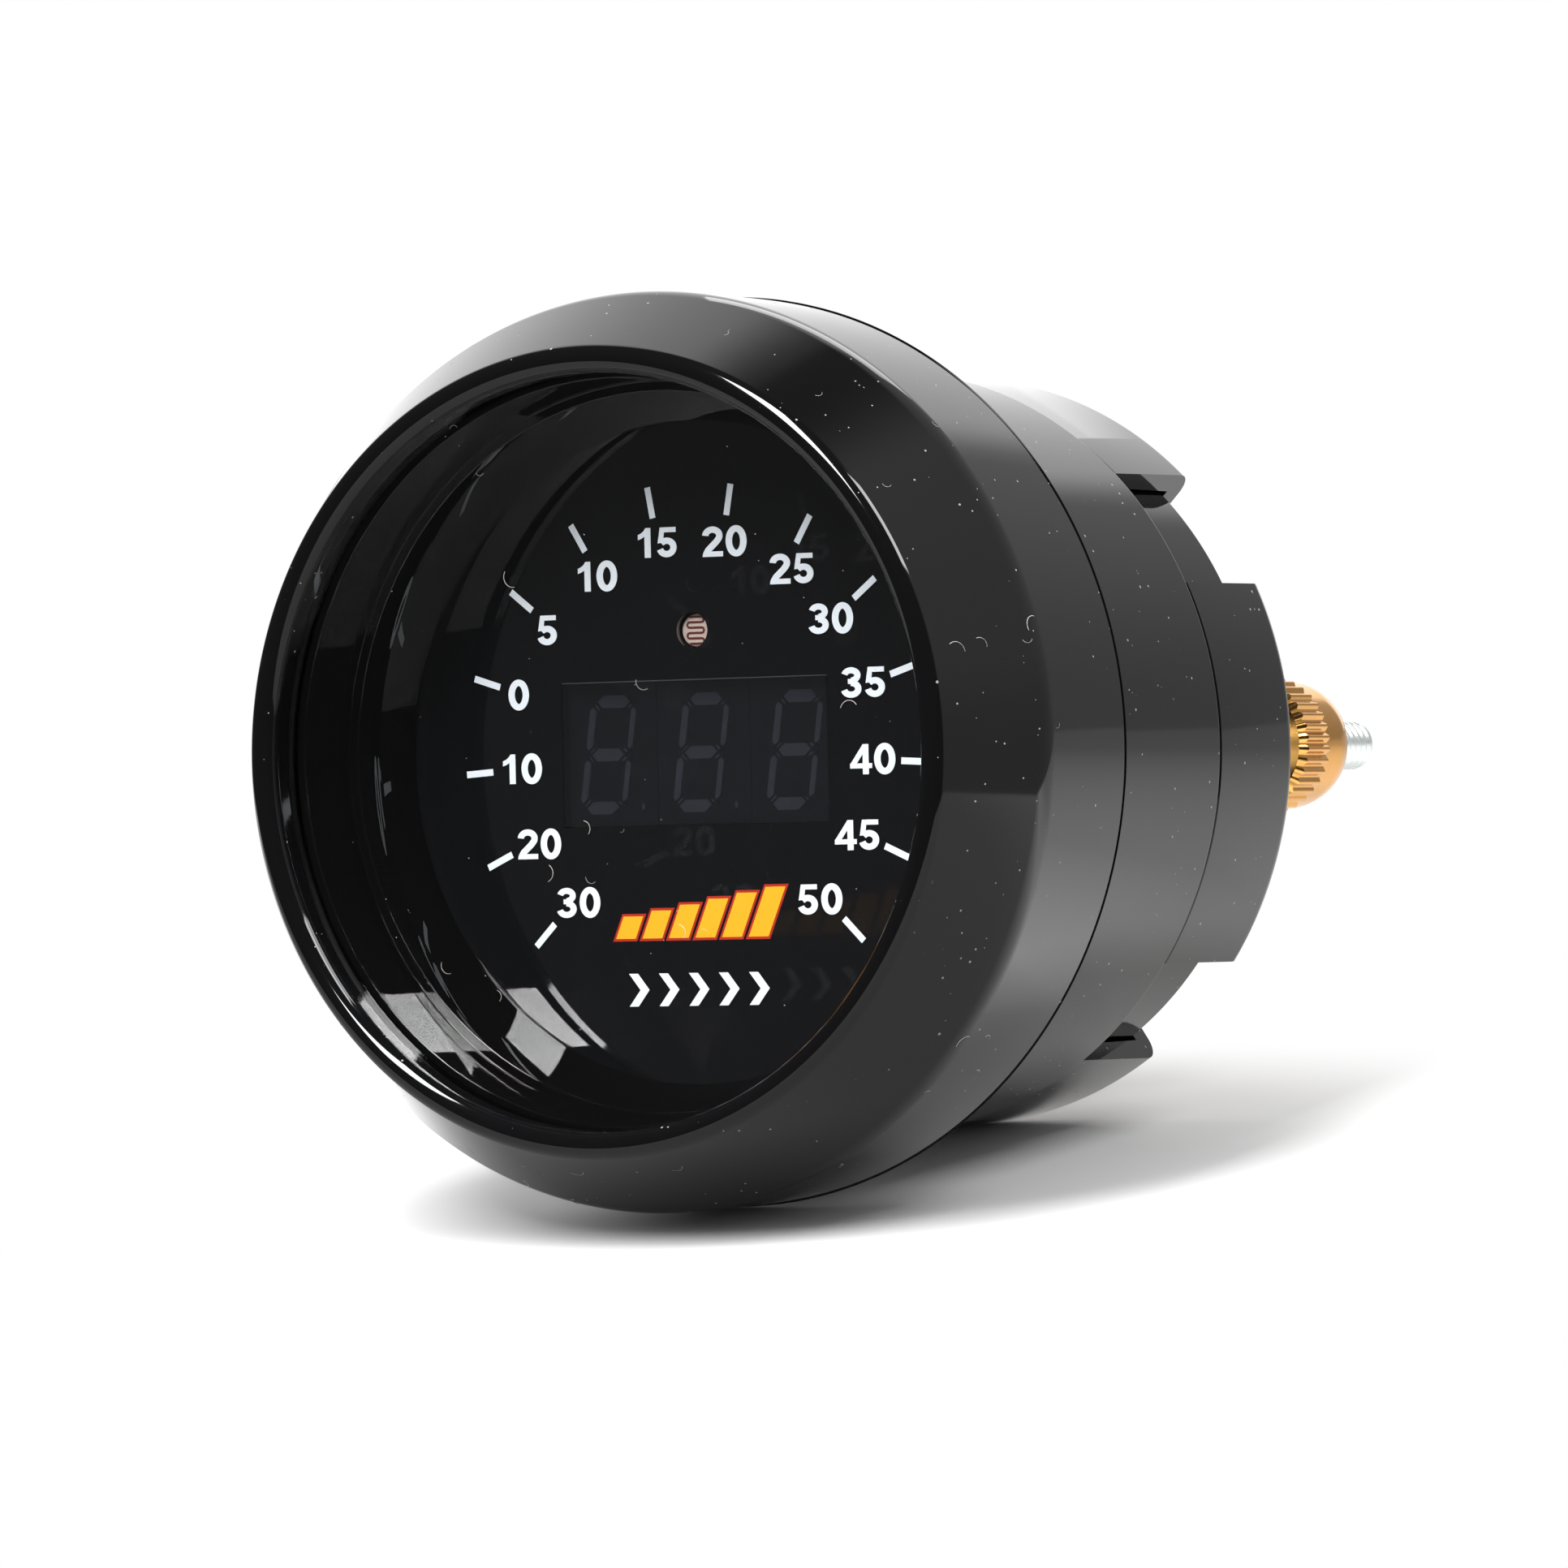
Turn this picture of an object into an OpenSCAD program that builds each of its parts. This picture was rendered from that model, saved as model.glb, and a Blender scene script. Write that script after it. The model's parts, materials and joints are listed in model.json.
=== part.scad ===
// Digital boost gauge for a 52 mm (2-1/16 inch) panel hole or gauge pod, with its clamp bracket.
// Millimetres. The gauge's axis lies along Y, the dial faces -Y, and its scale stands upright, +Z up.
// The origin is on that axis, in the plane where the flange bears on the panel's front face.

/* [Bezel] */
// Wall of the bezel's straight band, outside the collar's thread
band_t = 2.85; // [2.2:0.05:5]
// From the panel's front face to the bezel's nose
bezel_depth = 18.4; // [18:0.1:24]
// Length of the straight band behind the ridge
band_len = 10.2; // [6:0.1:12]
// Radius that rounds the nose into the opening
nose_round = 1.0; // [0.6:0.1:1.4]
// Radius that blends the tapered face into the band
ridge_round = 3.0; // [1:0.5:5]
// From the nose back to the lens, behind the lip
lip_t = 2.0; // [1.6:0.1:3]
// From the collar's thread in to the wall of the lens's pocket
pocket_step = 0.95; // [0.8:0.05:1.2]
// How far the lip holds the lens, measured along its radius
lens_grip = 1.75; // [1.5:0.05:2.4]

/* [Lens and gasket] */
// Thickness of the clear lens
lens_t = 1.6; // [1:0.1:2.2]
// Diameter of the gasket's round section
gasket_d = 1.0; // [0.8:0.1:1.2]
// Height of the gasket once the bezel has squeezed it
gasket_t = 0.9; // [0.7:0.05:0.95]

/* [Dial] */
// From the dial's front face back to the panel's front face
dial_depth = 4.8; // [4:0.1:6]
// Thickness of the printed faceplate
dial_t = 0.8; // [0.5:0.1:1.2]
// Width of the spacer ring's taper, from its straight wall in to the dial
taper_w = 2.5; // [1.6:0.1:3.4]
// Depth of the spacer ring's tapered stretch, in front of the dial
taper_depth = 4.4; // [3:0.1:5.5]
// Width of the small ledge where the taper starts
ring_ledge = 0.7; // [0.3:0.1:1]
// Wall of the spacer ring at the lens
ring_wall = 1.1; // [0.8:0.1:1.4]
// Width of the window in front of the digits
pane_w = 20.8; // [18:0.1:21.4]
// Height of that window
pane_h = 9.7; // [8.6:0.1:10]
// Height of the light sensor above the top of the digits' modules
sensor_rise = 3.0; // [2.6:0.1:3.8]
// Diameter of the hole in front of the light sensor
sensor_hole_d = 2.4; // [1.6:0.1:3]
// Number of marks on the scale, each with a lamp behind it
marks = 14; // [8:1:18]
// Angle of the first mark, measured from +X towards +Z
first_mark = 225; // [200:1:240]
// Angle that the whole scale sweeps
sweep = 270; // [180:5:280]
// From the dial's edge in to the circle on which the lamps stand
lamp_inset = 5.15; // [4.2:0.05:5.6]

/* [Housing] */
// Diameter of the barrel that passes through the panel
barrel_d = 52.4; // [52:0.1:53]
// Length of that barrel behind the panel's front face
barrel_len = 20.8; // [18:0.1:26]
// How much smaller in radius the drum behind the barrel is
drum_step = 1.9; // [1.7:0.1:2.4]
// Length of the drum
drum_len = 9.3; // [8.5:0.1:12]
// Wall of the barrel and of the drum
wall = 2.0; // [1.6:0.1:2.2]
// Thickness of the rear wall and of the shoulder between barrel and drum
floor_t = 2.0; // [1.6:0.1:3]
// How far the threaded collar stands proud of the barrel
collar_step = 1.4; // [1.2:0.1:1.6]
// Wall of the collar
collar_wall = 1.7; // [1.4:0.1:1.9]

/* [Bracket] */
// Wall of the bracket's cup
bracket_wall = 1.5; // [1.2:0.1:1.7]
// Thickness of the bracket's rear plate
plate_t = 1.8; // [1.6:0.1:3]
// Radius on the cup's rear edge
bracket_round = 1.6; // [0.5:0.1:2]
// Angle that each side tab covers
side_tab = 60.1; // [50:0.1:70]
// Angle that each notch between two tabs covers
notch = 20.75; // [14:0.25:26]
// Angle by which the bracket sits turned about the axis, towards +Z
bracket_turn = -5.15; // [-8:0.05:8]
// How deep the notches cut into the rear plate, from the cup's inner wall
notch_depth = 3.7; // [2.5:0.1:4.7]
// Room between the sockets' corners and the rear plate's opening for the plugs
plug_margin = 0.85; // [0.5:0.05:1.2]

/* [Studs and thumb nuts] */
// From the drum's inner wall in to the axis of each stud
stud_inset = 4.6; // [4.3:0.1:5.2]
// Diameter over the studs' threads
stud_d = 3.5; // [3:0.1:3.6]
// How far a stud reaches behind the drum
stud_len = 25.9; // [24:0.1:32]
// From the drum's rear face back to the thumb nut, as stored
nut_stand_off = 9.7; // [8:0.1:11]
// Diameter over the nut's knurl
nut_d = 9.7; // [9:0.1:10.4]
// Length of the knurled stretch
knurl_len = 3.7; // [3:0.1:5]
// Number of ridges round the knurl
knurl_count = 36; // [24:1:48]
// Height of the ridges
knurl_h = 0.3; // [0.15:0.05:0.4]
// How much smaller in radius the nut's plain body and dome are
dome_step = 0.35; // [0.3:0.05:0.8]
// Length of the plain body between knurl and dome
nut_neck = 2.1; // [1:0.1:3]

/* [Display] */
// Width of one digit's module
module_w = 7.2; // [6.8:0.05:7.2]
// Height of one digit's module
module_h = 10.3; // [10:0.1:10.5]
// Height of the figure that a module shows
figure_h = 8.0; // [7:0.1:8.4]
// Width of that figure, before it leans
figure_w = 4.1; // [3.4:0.1:4.4]
// Width of one segment
segment_w = 0.85; // [0.6:0.05:1]
// Angle by which the figures lean to the right
figure_lean = 8; // [0:1:12]

/* [Circuit boards] */
// Thickness of both circuit boards
board_t = 1.6; // [1:0.1:2]
// From the back of the faceplate to the display board
display_depth = 6.4; // [5.6:0.1:7]
// Distance across the flats of the spacers between the boards
spacer_af = 5.0; // [4:0.1:5.2]
// From the boards' edge in to the circle on which the spacers stand
spacer_inset = 5.3; // [4.6:0.1:5.9]
// Diameter of the board screws
screw_d = 2.4; // [2:0.1:2.6]
// Distance between neighbouring pins of the board-to-board header
pin_pitch = 2.54; // [2:0.01:2.54]
// Pins in each of the header's two rows
pins_per_row = 5; // [3:1:6]

/* [Rear sockets] */
// Width that each pin takes along a rear socket
socket_pin_w = 3.0; // [2.5:0.1:3.1]
// Contacts of the power socket
power_pins = 4; // [3:1:4]
// Contacts of the sensor socket
sensor_pins = 3; // [2:1:3]
// Height of both sockets
socket_h = 7.4; // [7:0.1:7.6]
// Wall of a socket
socket_wall = 1.1; // [0.8:0.1:1.3]
// How far a socket stands proud of the rear wall
socket_proud = 1.0; // [0.4:0.1:1.4]
// Width and height of the rotary selector's body
selector_w = 6.6; // [6:0.1:7]
// Depth of the rotary selector's body
selector_t = 5.0; // [4:0.1:6]
// Diameter of the selector's slotted rotor
rotor_d = 3.6; // [3:0.1:4]

/* [Hidden] */
$fn = 96;
// Overrun of every cut past the face that it opens
over = 0.5;
// Steps of a profile's rounded stretch
arc_steps = 8;

// Clearances
slip_gap = 0.1;       // lens in its pocket, spacer ring and faceplate in the collar
thread_gap = 0.15;    // bezel's bore over the collar
panel_gap = 0.15;     // bezel's rear edge short of the flange, and the bracket short of its shoulder
board_gap = 0.3;      // boards and shroud in the barrel
bracket_gap = 0.2;    // bracket over the drum
plate_gap = 0.35;     // bracket's rear plate behind the drum
hole_gap = 0.25;      // bracket's holes round the studs
screw_gap = 0.05;     // screws in boards and spacers, nuts on their studs
insert_gap = 0.02;    // studs in the moulded bosses
socket_gap = 0.2;     // sockets in the rear wall
rotor_gap = 0.05;     // rotor in its pocket

// Bezel and lens
lens_front = -(bezel_depth - lip_t);
lens_rear = lens_front + lens_t;
edge_break = 0.3;

// Housing
barrel_r = barrel_d / 2;
barrel_in = barrel_r - wall;
drum_r = barrel_r - drum_step;
drum_in = drum_r - wall;
drum_rear = barrel_len + drum_len;
rear_wall_y = drum_rear - floor_t;
shoulder_y = barrel_len - floor_t;
collar_r = barrel_r + collar_step;
collar_in = collar_r - collar_wall;
collar_front = lens_rear + gasket_t;
thread_r = collar_r + thread_gap;
bezel_r = thread_r + band_t;
pocket_r = thread_r - pocket_step;
lens_r = pocket_r - slip_gap;
window_r = lens_r - lens_grip;
gasket_r = pocket_r - thread_gap - gasket_d / 2;
key_w = 2.0;
key_h = 0.7;
key_angle = -90;

// Dial
dial_front = -dial_depth;
dial_rear = dial_front + dial_t;
dial_r = collar_in - slip_gap;
ring_r = collar_in - slip_gap;
ring_in = ring_r - ring_wall;
dial_open_r = ring_in - taper_w;
ring_front = lens_rear + panel_gap;
neck_r = min(ring_r, gasket_r - gasket_d / 2 - slip_gap);
mark_step = sweep / (marks - 1);

// Display and boards
module_side_gap = 0.1;
digit_pitch = module_w + module_side_gap;
digit_x = [-digit_pitch, 0, digit_pitch];
module_gap = 0.4;
module_front = dial_rear + module_gap;
display_board_y = dial_rear + display_depth;
display_board_rear = display_board_y + board_t;
main_board_rear = shoulder_y;
main_board_y = main_board_rear - board_t;
board_r = barrel_in - board_gap;
spacer_circle_r = board_r - spacer_inset;
spacer_corner_r = spacer_af / 2 / cos(30);
lamp_circle_r = dial_open_r - lamp_inset;
spacer_len = main_board_y - display_board_rear;
screw_r = screw_d / 2;
screw_head_r = screw_d * 0.85;
screw_head_t = screw_d * 0.5;
screw_bite = 4.0;
// The spacers stand midway between two lamps, and one at the bottom, where the scale has none
spacer_angles = [first_mark - 2.5 * mark_step, first_mark - (marks - 3.5) * mark_step, key_angle];
// The parts beside a spacer stand clear of it
part_gap = 0.45;
chip_leg_len = 1.2;
sensor_z = module_h / 2 + sensor_rise;
sensor_r = 2.1;
sensor_t = 1.8;
header_share = 0.695;
header_z = header_share * board_r;
header_base_t = 2.5;
header_pin_w = 0.64;
header_socket_t = 7.0;
header_pin_stop = 1.0;

// Rear sockets and selector
selector_gap = 0.6;
socket_z = (selector_w + socket_h) / 2 + selector_gap;
socket_rear = drum_rear + socket_proud;
socket_floor_t = 3.0;
contact_w = 0.8;
contact_tip = 2.0;
selector_face = main_board_rear + selector_t;
rotor_recess = 1.0;
rotor_proud = 1.2;
rotor_slot = 0.7;
tool_hole_r = rotor_d / 2 + bracket_gap;

// Bracket
bracket_in = drum_r + bracket_gap;
bracket_r = bracket_in + bracket_wall;
notch_floor_r = bracket_in - notch_depth;
bracket_front = barrel_len + panel_gap;
plate_front = drum_rear + plate_gap;
bracket_rear = plate_front + plate_t;
notch_offset = (side_tab + notch) / 2;
notch_centres = [for (half = [0, 180], side = [1, -1]) half + bracket_turn + side * notch_offset];

// Studs and nuts
stud_x = drum_in - stud_inset;
stud_r = stud_d / 2;
stud_tip = drum_rear + stud_len;
insert_r = stud_r * 1.75;
insert_t = 2.0;
boss_len = 4.0;
boss_r = stud_inset + edge_break;
insert_y = rear_wall_y - boss_len + floor_t / 2;
nut_front = drum_rear + nut_stand_off;
nut_r = nut_d / 2;
nut_bore_r = stud_r + screw_gap;
nut_chamfer = 0.5;
knurl_rear = nut_front + knurl_len;
dome_r = nut_r - dome_step;
dome_y = knurl_rear + nut_neck;

// Points along an arc, from angle a0 to angle a1
function arc(cx, cy, r, a0, a1) =
    [for (i = [0 : arc_steps]) let (a = a0 + (a1 - a0) * i / arc_steps) [cx + r * cos(a), cy + r * sin(a)]];

// A solid turned about the gauge's axis, from a profile of [radius, y] points
module turned(profile) rotate([-90, 0, 0]) rotate_extrude() polygon(profile);

// A round rod parallel to the axis
module rod(r, y0, y1, x = 0, z = 0) translate([x, y0, z]) rotate([-90, 0, 0]) cylinder(r = r, h = y1 - y0);

// A block parallel to the axis, w wide and h high
module block(w, h, y0, y1, x = 0, z = 0) translate([x - w / 2, y0, z - h / 2]) cube([w, y1 - y0, h]);

// A flat outline in X and Z, made solid from y0 to y1
module slab(y0, y1) translate([0, y1, 0]) rotate([90, 0, 0]) linear_extrude(y1 - y0) children();

// Carries its children out to a radius, at an angle measured from +X towards +Z
module at_angle(angle, r) rotate([0, -angle, 0]) translate([r, 0, 0]) children();

// Bezel: the black screw-on ring, with its rounded nose, tapered face and straight band
nose_c = [window_r + nose_round, -bezel_depth + nose_round];
ridge_c = [bezel_r - ridge_round, -band_len];
taper_run = ridge_c - nose_c;
// Direction of the tapered face's normal, where it leaves the nose and meets the ridge
taper_normal = atan2(taper_run[1], taper_run[0]) - acos((nose_round - ridge_round) / norm(taper_run));
module bezel() color("#141416") turned(concat(
    [[window_r, lens_front]],
    arc(nose_c[0], nose_c[1], nose_round, 180, 360 + taper_normal),
    arc(ridge_c[0], ridge_c[1], ridge_round, taper_normal, 0),
    [[bezel_r, -panel_gap - edge_break], [bezel_r - edge_break, -panel_gap], [thread_r, -panel_gap],
     [thread_r, collar_front - thread_gap], [pocket_r, collar_front - thread_gap], [pocket_r, lens_front]]));

// Lens: a flat clear disc that the bezel's lip holds against the gasket
module lens() color("#dfe8ee", 0.3) turned([[0, lens_front], [lens_r, lens_front], [lens_r, lens_rear],
                                            [0, lens_rear]]);

// Gasket: a round rubber ring, squeezed flat between the lens and the collar
module lens_gasket() color("#202020") rotate([-90, 0, 0]) rotate_extrude() intersection() {
    translate([gasket_r, lens_rear + gasket_t / 2]) circle(d = gasket_d, $fn = 48);
    translate([gasket_r - gasket_d / 2, lens_rear]) square([gasket_d, gasket_t]);
}

// The key in the collar that stops the faceplate and the spacer ring from turning
module keyway(y0, y1) at_angle(key_angle, collar_in) block(2 * (key_h + slip_gap), key_w + 2 * slip_gap, y0, y1);

// Spacer ring: the dark wall between the lens and the dial, with a ledge where its taper starts
module spacer_ring() color("#0e0f10") difference() {
    ledge_y = dial_front - taper_depth;
    turned([[neck_r, ring_front], [neck_r, collar_front], [ring_r, collar_front], [ring_r, dial_front],
            [dial_open_r, dial_front],
            [dial_open_r, dial_front - edge_break], [ring_in - ring_ledge, ledge_y],
            [ring_in, ledge_y], [ring_in, ring_front]]);
    keyway(ring_front - over, dial_front + over);
}

// Faceplate: the printed dial, with the window for the digits and the hole for the light sensor
module faceplate() color("#101114") difference() {
    rod(dial_r, dial_front, dial_rear);
    block(pane_w, pane_h, dial_front - over, dial_rear + over);
    rod(sensor_hole_d / 2, dial_front - over, dial_rear + over, z = sensor_z);
    keyway(dial_front - over, dial_rear + over);
}

// Pane: the smoked window bonded into the faceplate
module display_pane() color("#1a1d24") block(pane_w - slip_gap, pane_h - slip_gap, dial_front, dial_rear);

// Light shroud: the black block behind the faceplate, with a well for each lamp and module
module light_shroud() color("#17181a") {
    well_r = 1.25;
    difference() {
        rod(barrel_in - board_gap, dial_rear, display_board_y);
        block(digit_pitch * len(digit_x) + slip_gap, module_h + 2 * slip_gap, dial_rear - over,
              display_board_y + over);
        for (i = [0 : marks - 1]) at_angle(first_mark - i * mark_step, lamp_circle_r)
            rod(well_r, dial_rear - over, display_board_y + over);
        rod(sensor_hole_d / 2 + slip_gap, dial_rear - over, display_board_y, z = sensor_z);
        rod(sensor_r + slip_gap, dial_rear + dial_t, display_board_y + over, z = sensor_z);
        for (a = spacer_angles) at_angle(a, spacer_circle_r)
            rod(screw_head_r + slip_gap, display_board_y - screw_head_t - slip_gap, display_board_y + over);
    }
}

// One bar of a figure: a hexagon between two points, pointed at both ends
bar_end_share = 0.3;
function bar(x0, z0, x1, z1) =
    let (run = [x1 - x0, z1 - z0], u = run / norm(run) * segment_w / 2, n = [-u[1], u[0]], gap = u * bar_end_share,
         p = [x0, z0] + gap, q = [x1, z1] - gap)
    [for (c = [p, p + u + n, q - u + n, q, q - u - n, p + u - n]) [c[0] + c[1] * tan(figure_lean), c[1]]];

// The seven bars of a figure, round two squares
function figure_bars() =
    let (w = (figure_w - segment_w) / 2, h = (figure_h - segment_w) / 2)
    [bar(-w, h, w, h), bar(w, h, w, 0), bar(w, 0, w, -h), bar(w, -h, -w, -h), bar(-w, -h, -w, 0),
     bar(-w, 0, -w, h), bar(-w, 0, w, 0)];

// Digit module: an epoxy-filled block whose seven bars and point are moulded a little below its face
module digit(x) color("#202329") {
    bar_depth = 0.15;
    point_x = module_w / 2 - segment_w;
    difference() {
        block(module_w, module_h, module_front, display_board_y, x);
        translate([x, 0, 0]) for (points = figure_bars())
            slab(module_front - over, module_front + bar_depth) polygon(points);
        rod(segment_w / 2, module_front - over, module_front + bar_depth, x + point_x, -figure_h / 2 + segment_w / 2);
    }
}
module display_digit_left() digit(digit_x[0]);
module display_digit_middle() digit(digit_x[1]);
module display_digit_right() digit(digit_x[2]);

// Light sensor: a ceramic photocell on two legs, which dims the display at night
module light_sensor() color("#b9a188") {
    leg_r = 0.3;
    front = dial_rear + dial_t + slip_gap;
    rod(sensor_r, front, front + sensor_t, z = sensor_z);
    for (side = [1, -1]) rod(leg_r, front + sensor_t, display_board_y, side * sensor_r / 2, sensor_z);
}

// Scale lamps: one light-emitting diode behind each mark of the scale
module scale_lamps() color("#d8d4c0") {
    lamp_w = 1.25;
    lamp_len = 1.9;
    lamp_t = 0.8;
    for (i = [0 : marks - 1]) at_angle(first_mark - i * mark_step, lamp_circle_r)
        block(lamp_len, lamp_w, display_board_y - lamp_t, display_board_y);
}

// A bare round board with its screw holes
module board(y0) difference() {
    rod(board_r, y0, y0 + board_t);
    for (a = spacer_angles) at_angle(a, spacer_circle_r) rod(screw_r + screw_gap, y0 - over, y0 + board_t + over);
}

// Where the header's pins stand, as [x, z]
function header_pins() = [for (i = [0 : pins_per_row - 1], row = [-0.5, 0.5])
    [(i - (pins_per_row - 1) / 2) * pin_pitch, header_z + row * pin_pitch]];
header_w = pins_per_row * pin_pitch;

module display_board() color("#1d5a38") board(display_board_y);
module main_board() color("#1d5a38") board(main_board_y);

// Lamp drivers: two small-outline chips behind the display board
module lamp_drivers() color("#242426") {
    chip_w = 7.5;
    chip_h = 10.3;
    chip_t = 2.3;
    chip_legs = 8;
    chip_x = spacer_circle_r - spacer_corner_r - chip_leg_len - chip_w / 2 - part_gap;
    for (side = [1, -1]) chip(side * chip_x, 0, chip_w, chip_h, chip_t, chip_legs, display_board_rear);
}

// A chip with a row of flat legs down its left and right sides, standing on the face at y0
module chip(x, z, w, h, t, legs, y0, turn = 1) {
    leg_pitch = h / (legs + 0.5);
    leg_w = leg_pitch * 0.35;
    leg_len = chip_leg_len;
    leg_t = 0.2;
    leg_stand = t * 0.5;
    y1 = y0 + turn * t;
    block(w, h, min(y0, y1) + (turn > 0 ? leg_t : 0), max(y0, y1) - (turn > 0 ? 0 : leg_t), x, z);
    for (side = [1, -1], i = [0 : legs - 1]) {
        leg_x = x + side * (w + leg_len) / 2;
        leg_z = z + (i - (legs - 1) / 2) * leg_pitch;
        shin_x = x + side * (w + leg_len / 2) / 2;
        foot = turn > 0 ? [y0, y0 + leg_t] : [y0 - leg_t, y0];
        shin = turn > 0 ? [y0, y0 + leg_stand] : [y0 - leg_stand, y0];
        block(leg_len, leg_w, foot[0], foot[1], leg_x, leg_z);
        block(leg_len / 2, leg_w, shin[0], shin[1], shin_x, leg_z);
    }
}

// Header: two rows of square pins in a plastic base, which join the two boards
module board_header() color("#2b2b2d") {
    block(header_w, 2 * pin_pitch, display_board_rear, display_board_rear + header_base_t, 0, header_z);
    for (p = header_pins())
        block(header_pin_w, header_pin_w, display_board_rear, main_board_y - header_pin_stop, p[0], p[1]);
}

// Header socket: the plastic strip on the main board that the pins plug into
module header_socket() color("#2b2b2d") difference() {
    block(header_w, 2 * pin_pitch, main_board_y - header_socket_t, main_board_y, 0, header_z);
    for (p = header_pins())
        block(header_pin_w + 2 * slip_gap, header_pin_w + 2 * slip_gap, main_board_y - header_socket_t - over,
              main_board_y - header_pin_stop / 2, p[0], p[1]);
}

// Spacers: three hexagonal brass posts that hold the boards apart
module board_spacers() color("#b8923c") for (a = spacer_angles) at_angle(a, spacer_circle_r) difference() {
    translate([0, display_board_rear, 0]) rotate([-90, 0, 0])
        cylinder(r = spacer_corner_r, h = spacer_len, $fn = 6);
    rod(screw_r + screw_gap, display_board_rear - over, main_board_y + over);
}

// Board screws: a short pan-headed screw at both ends of each spacer
module board_screws() color("#9aa0a6") for (a = spacer_angles) at_angle(a, spacer_circle_r) {
    board_screw(display_board_y, 1);
    board_screw(main_board_rear, -1);
}
module board_screw(face, way) translate([0, face, 0]) rotate([way * -90, 0, 0]) difference() {
    union() {
        cylinder(r = screw_r, h = board_t + screw_bite);
        translate([0, 0, -screw_head_t]) cylinder(r = screw_head_r, h = screw_head_t);
    }
    for (turn = [0, 90]) rotate(turn)
        translate([-screw_r, -screw_r / 4, -screw_head_t - over]) cube([screw_d, screw_r / 2, screw_head_t / 2 + over]);
}

// Microcontroller: a square chip on the front of the main board
mcu_w = 8.0;
mcu_share = -0.356;
mcu_t = 1.4;
mcu_legs = 9;
mcu_z = mcu_share * board_r;
module microcontroller() color("#242426") chip(0, mcu_z, mcu_w, mcu_w, mcu_t, mcu_legs, main_board_y, -1);

// Crystal: a flat can with round ends, beside the microcontroller
module crystal() color("#b9bdc2") {
    can_r = 2.0;
    can_len = 6.0;
    can_t = 3.5;
    x = mcu_w + can_r;
    for (end = [1, -1]) rod(can_r, main_board_y - can_t, main_board_y, x, mcu_z + end * can_len / 2);
    block(2 * can_r, can_len, main_board_y - can_t, main_board_y, x, mcu_z);
}

// Voltage regulator: a power package with a soldered tab and three legs
module voltage_regulator() color("#242426") {
    body_w = 6.6;
    body_h = 6.1;
    body_t = 2.3;
    tab_t = 0.5;
    leg_len = 2.4;
    leg_w = 0.8;
    z_share = 0.21;
    x = -(spacer_circle_r - spacer_corner_r - body_w / 2 - part_gap);
    z = z_share * board_r;
    block(body_w, body_h, main_board_y - body_t, main_board_y, x, z);
    block(body_w * 0.8, body_h / 2, main_board_y - tab_t, main_board_y, x, z + body_h * 0.6);
    for (i = [-1, 0, 1])
        block(leg_w, leg_len, main_board_y - tab_t, main_board_y, x + i * body_w / 3, z - (body_h + leg_len) / 2);
}

// Choke: a wound coil in a square ferrite, which filters the car's supply
module choke() color("#38393c") {
    choke_w = 7.3;
    choke_t = 4.5;
    x_share = -0.481;
    flange_share = 0.22;
    x = x_share * board_r;
    z = mcu_z;
    flange_t = choke_t * flange_share;
    block(choke_w, choke_w, main_board_y - flange_t, main_board_y, x, z);
    rod(choke_w * 0.36, main_board_y - choke_t, main_board_y, x, z);
    block(choke_w, choke_w, main_board_y - choke_t, main_board_y - choke_t + flange_t, x, z);
}

// Capacitors: two aluminium cans on square plastic feet
place_shares = [[0.44, 0.314], [0.105, 0.272]];
module capacitors() color("#a8adb3") for (p = place_shares * board_r) capacitor(p[0], p[1]);
module capacitor(x, z) {
    can_r = 3.15;
    can_t = 7.7;
    foot_t = 1.6;
    block(2 * can_r, 2 * can_r, main_board_y - foot_t, main_board_y, x, z);
    rod(can_r, main_board_y - can_t, main_board_y, x, z);
}

// A rear socket: a rectangular shroud on the main board, open to the rear, with a latch ramp on one side
function socket_w(pins) = pins * socket_pin_w + 2 * socket_wall;
function contact_x(i, pins) = (i - (pins - 1) / 2) * socket_pin_w;
module socket(pins, side) {
    z = side * socket_z;
    inner_h = socket_h - 2 * socket_wall;
    latch_w = socket_pin_w;
    latch_h = (socket_h - inner_h) / 2 * 0.8;
    difference() {
        block(socket_w(pins), socket_h, main_board_rear, socket_rear, 0, z);
        block(pins * socket_pin_w, inner_h, main_board_rear + socket_floor_t, socket_rear + over, 0, z);
        block(latch_w, 2 * latch_h, main_board_rear + 2 * socket_floor_t, socket_rear + over, 0,
              z + side * inner_h / 2);
        for (i = [0 : pins - 1])
            block(contact_w + slip_gap, contact_w + slip_gap, main_board_rear - over, socket_rear,
                  contact_x(i, pins), z);
    }
}
module contacts(pins, side) for (i = [0 : pins - 1])
    block(contact_w, contact_w, main_board_rear, socket_rear - contact_tip, contact_x(i, pins), side * socket_z);
module power_socket() color("#e8e6de") socket(power_pins, 1);
module power_contacts() color("#c8a24a") contacts(power_pins, 1);
module sensor_socket() color("#2b2b2d") socket(sensor_pins, -1);
module sensor_contacts() color("#c8a24a") contacts(sensor_pins, -1);

// Selector: a small rotary switch behind the rear wall, turned with a screwdriver
module selector_switch() color("#2f6fb0") difference() {
    block(selector_w, selector_w, main_board_rear, selector_face);
    rod(rotor_d / 2 + rotor_gap, selector_face - rotor_recess - rotor_gap, selector_face + over);
}
module selector_rotor() color("#f0f0ea") difference() {
    rod(rotor_d / 2, selector_face - rotor_recess, selector_face + rotor_proud);
    block(rotor_slot, rotor_d + over, selector_face + rotor_proud - rotor_recess, selector_face + rotor_proud + over);
}

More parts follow.
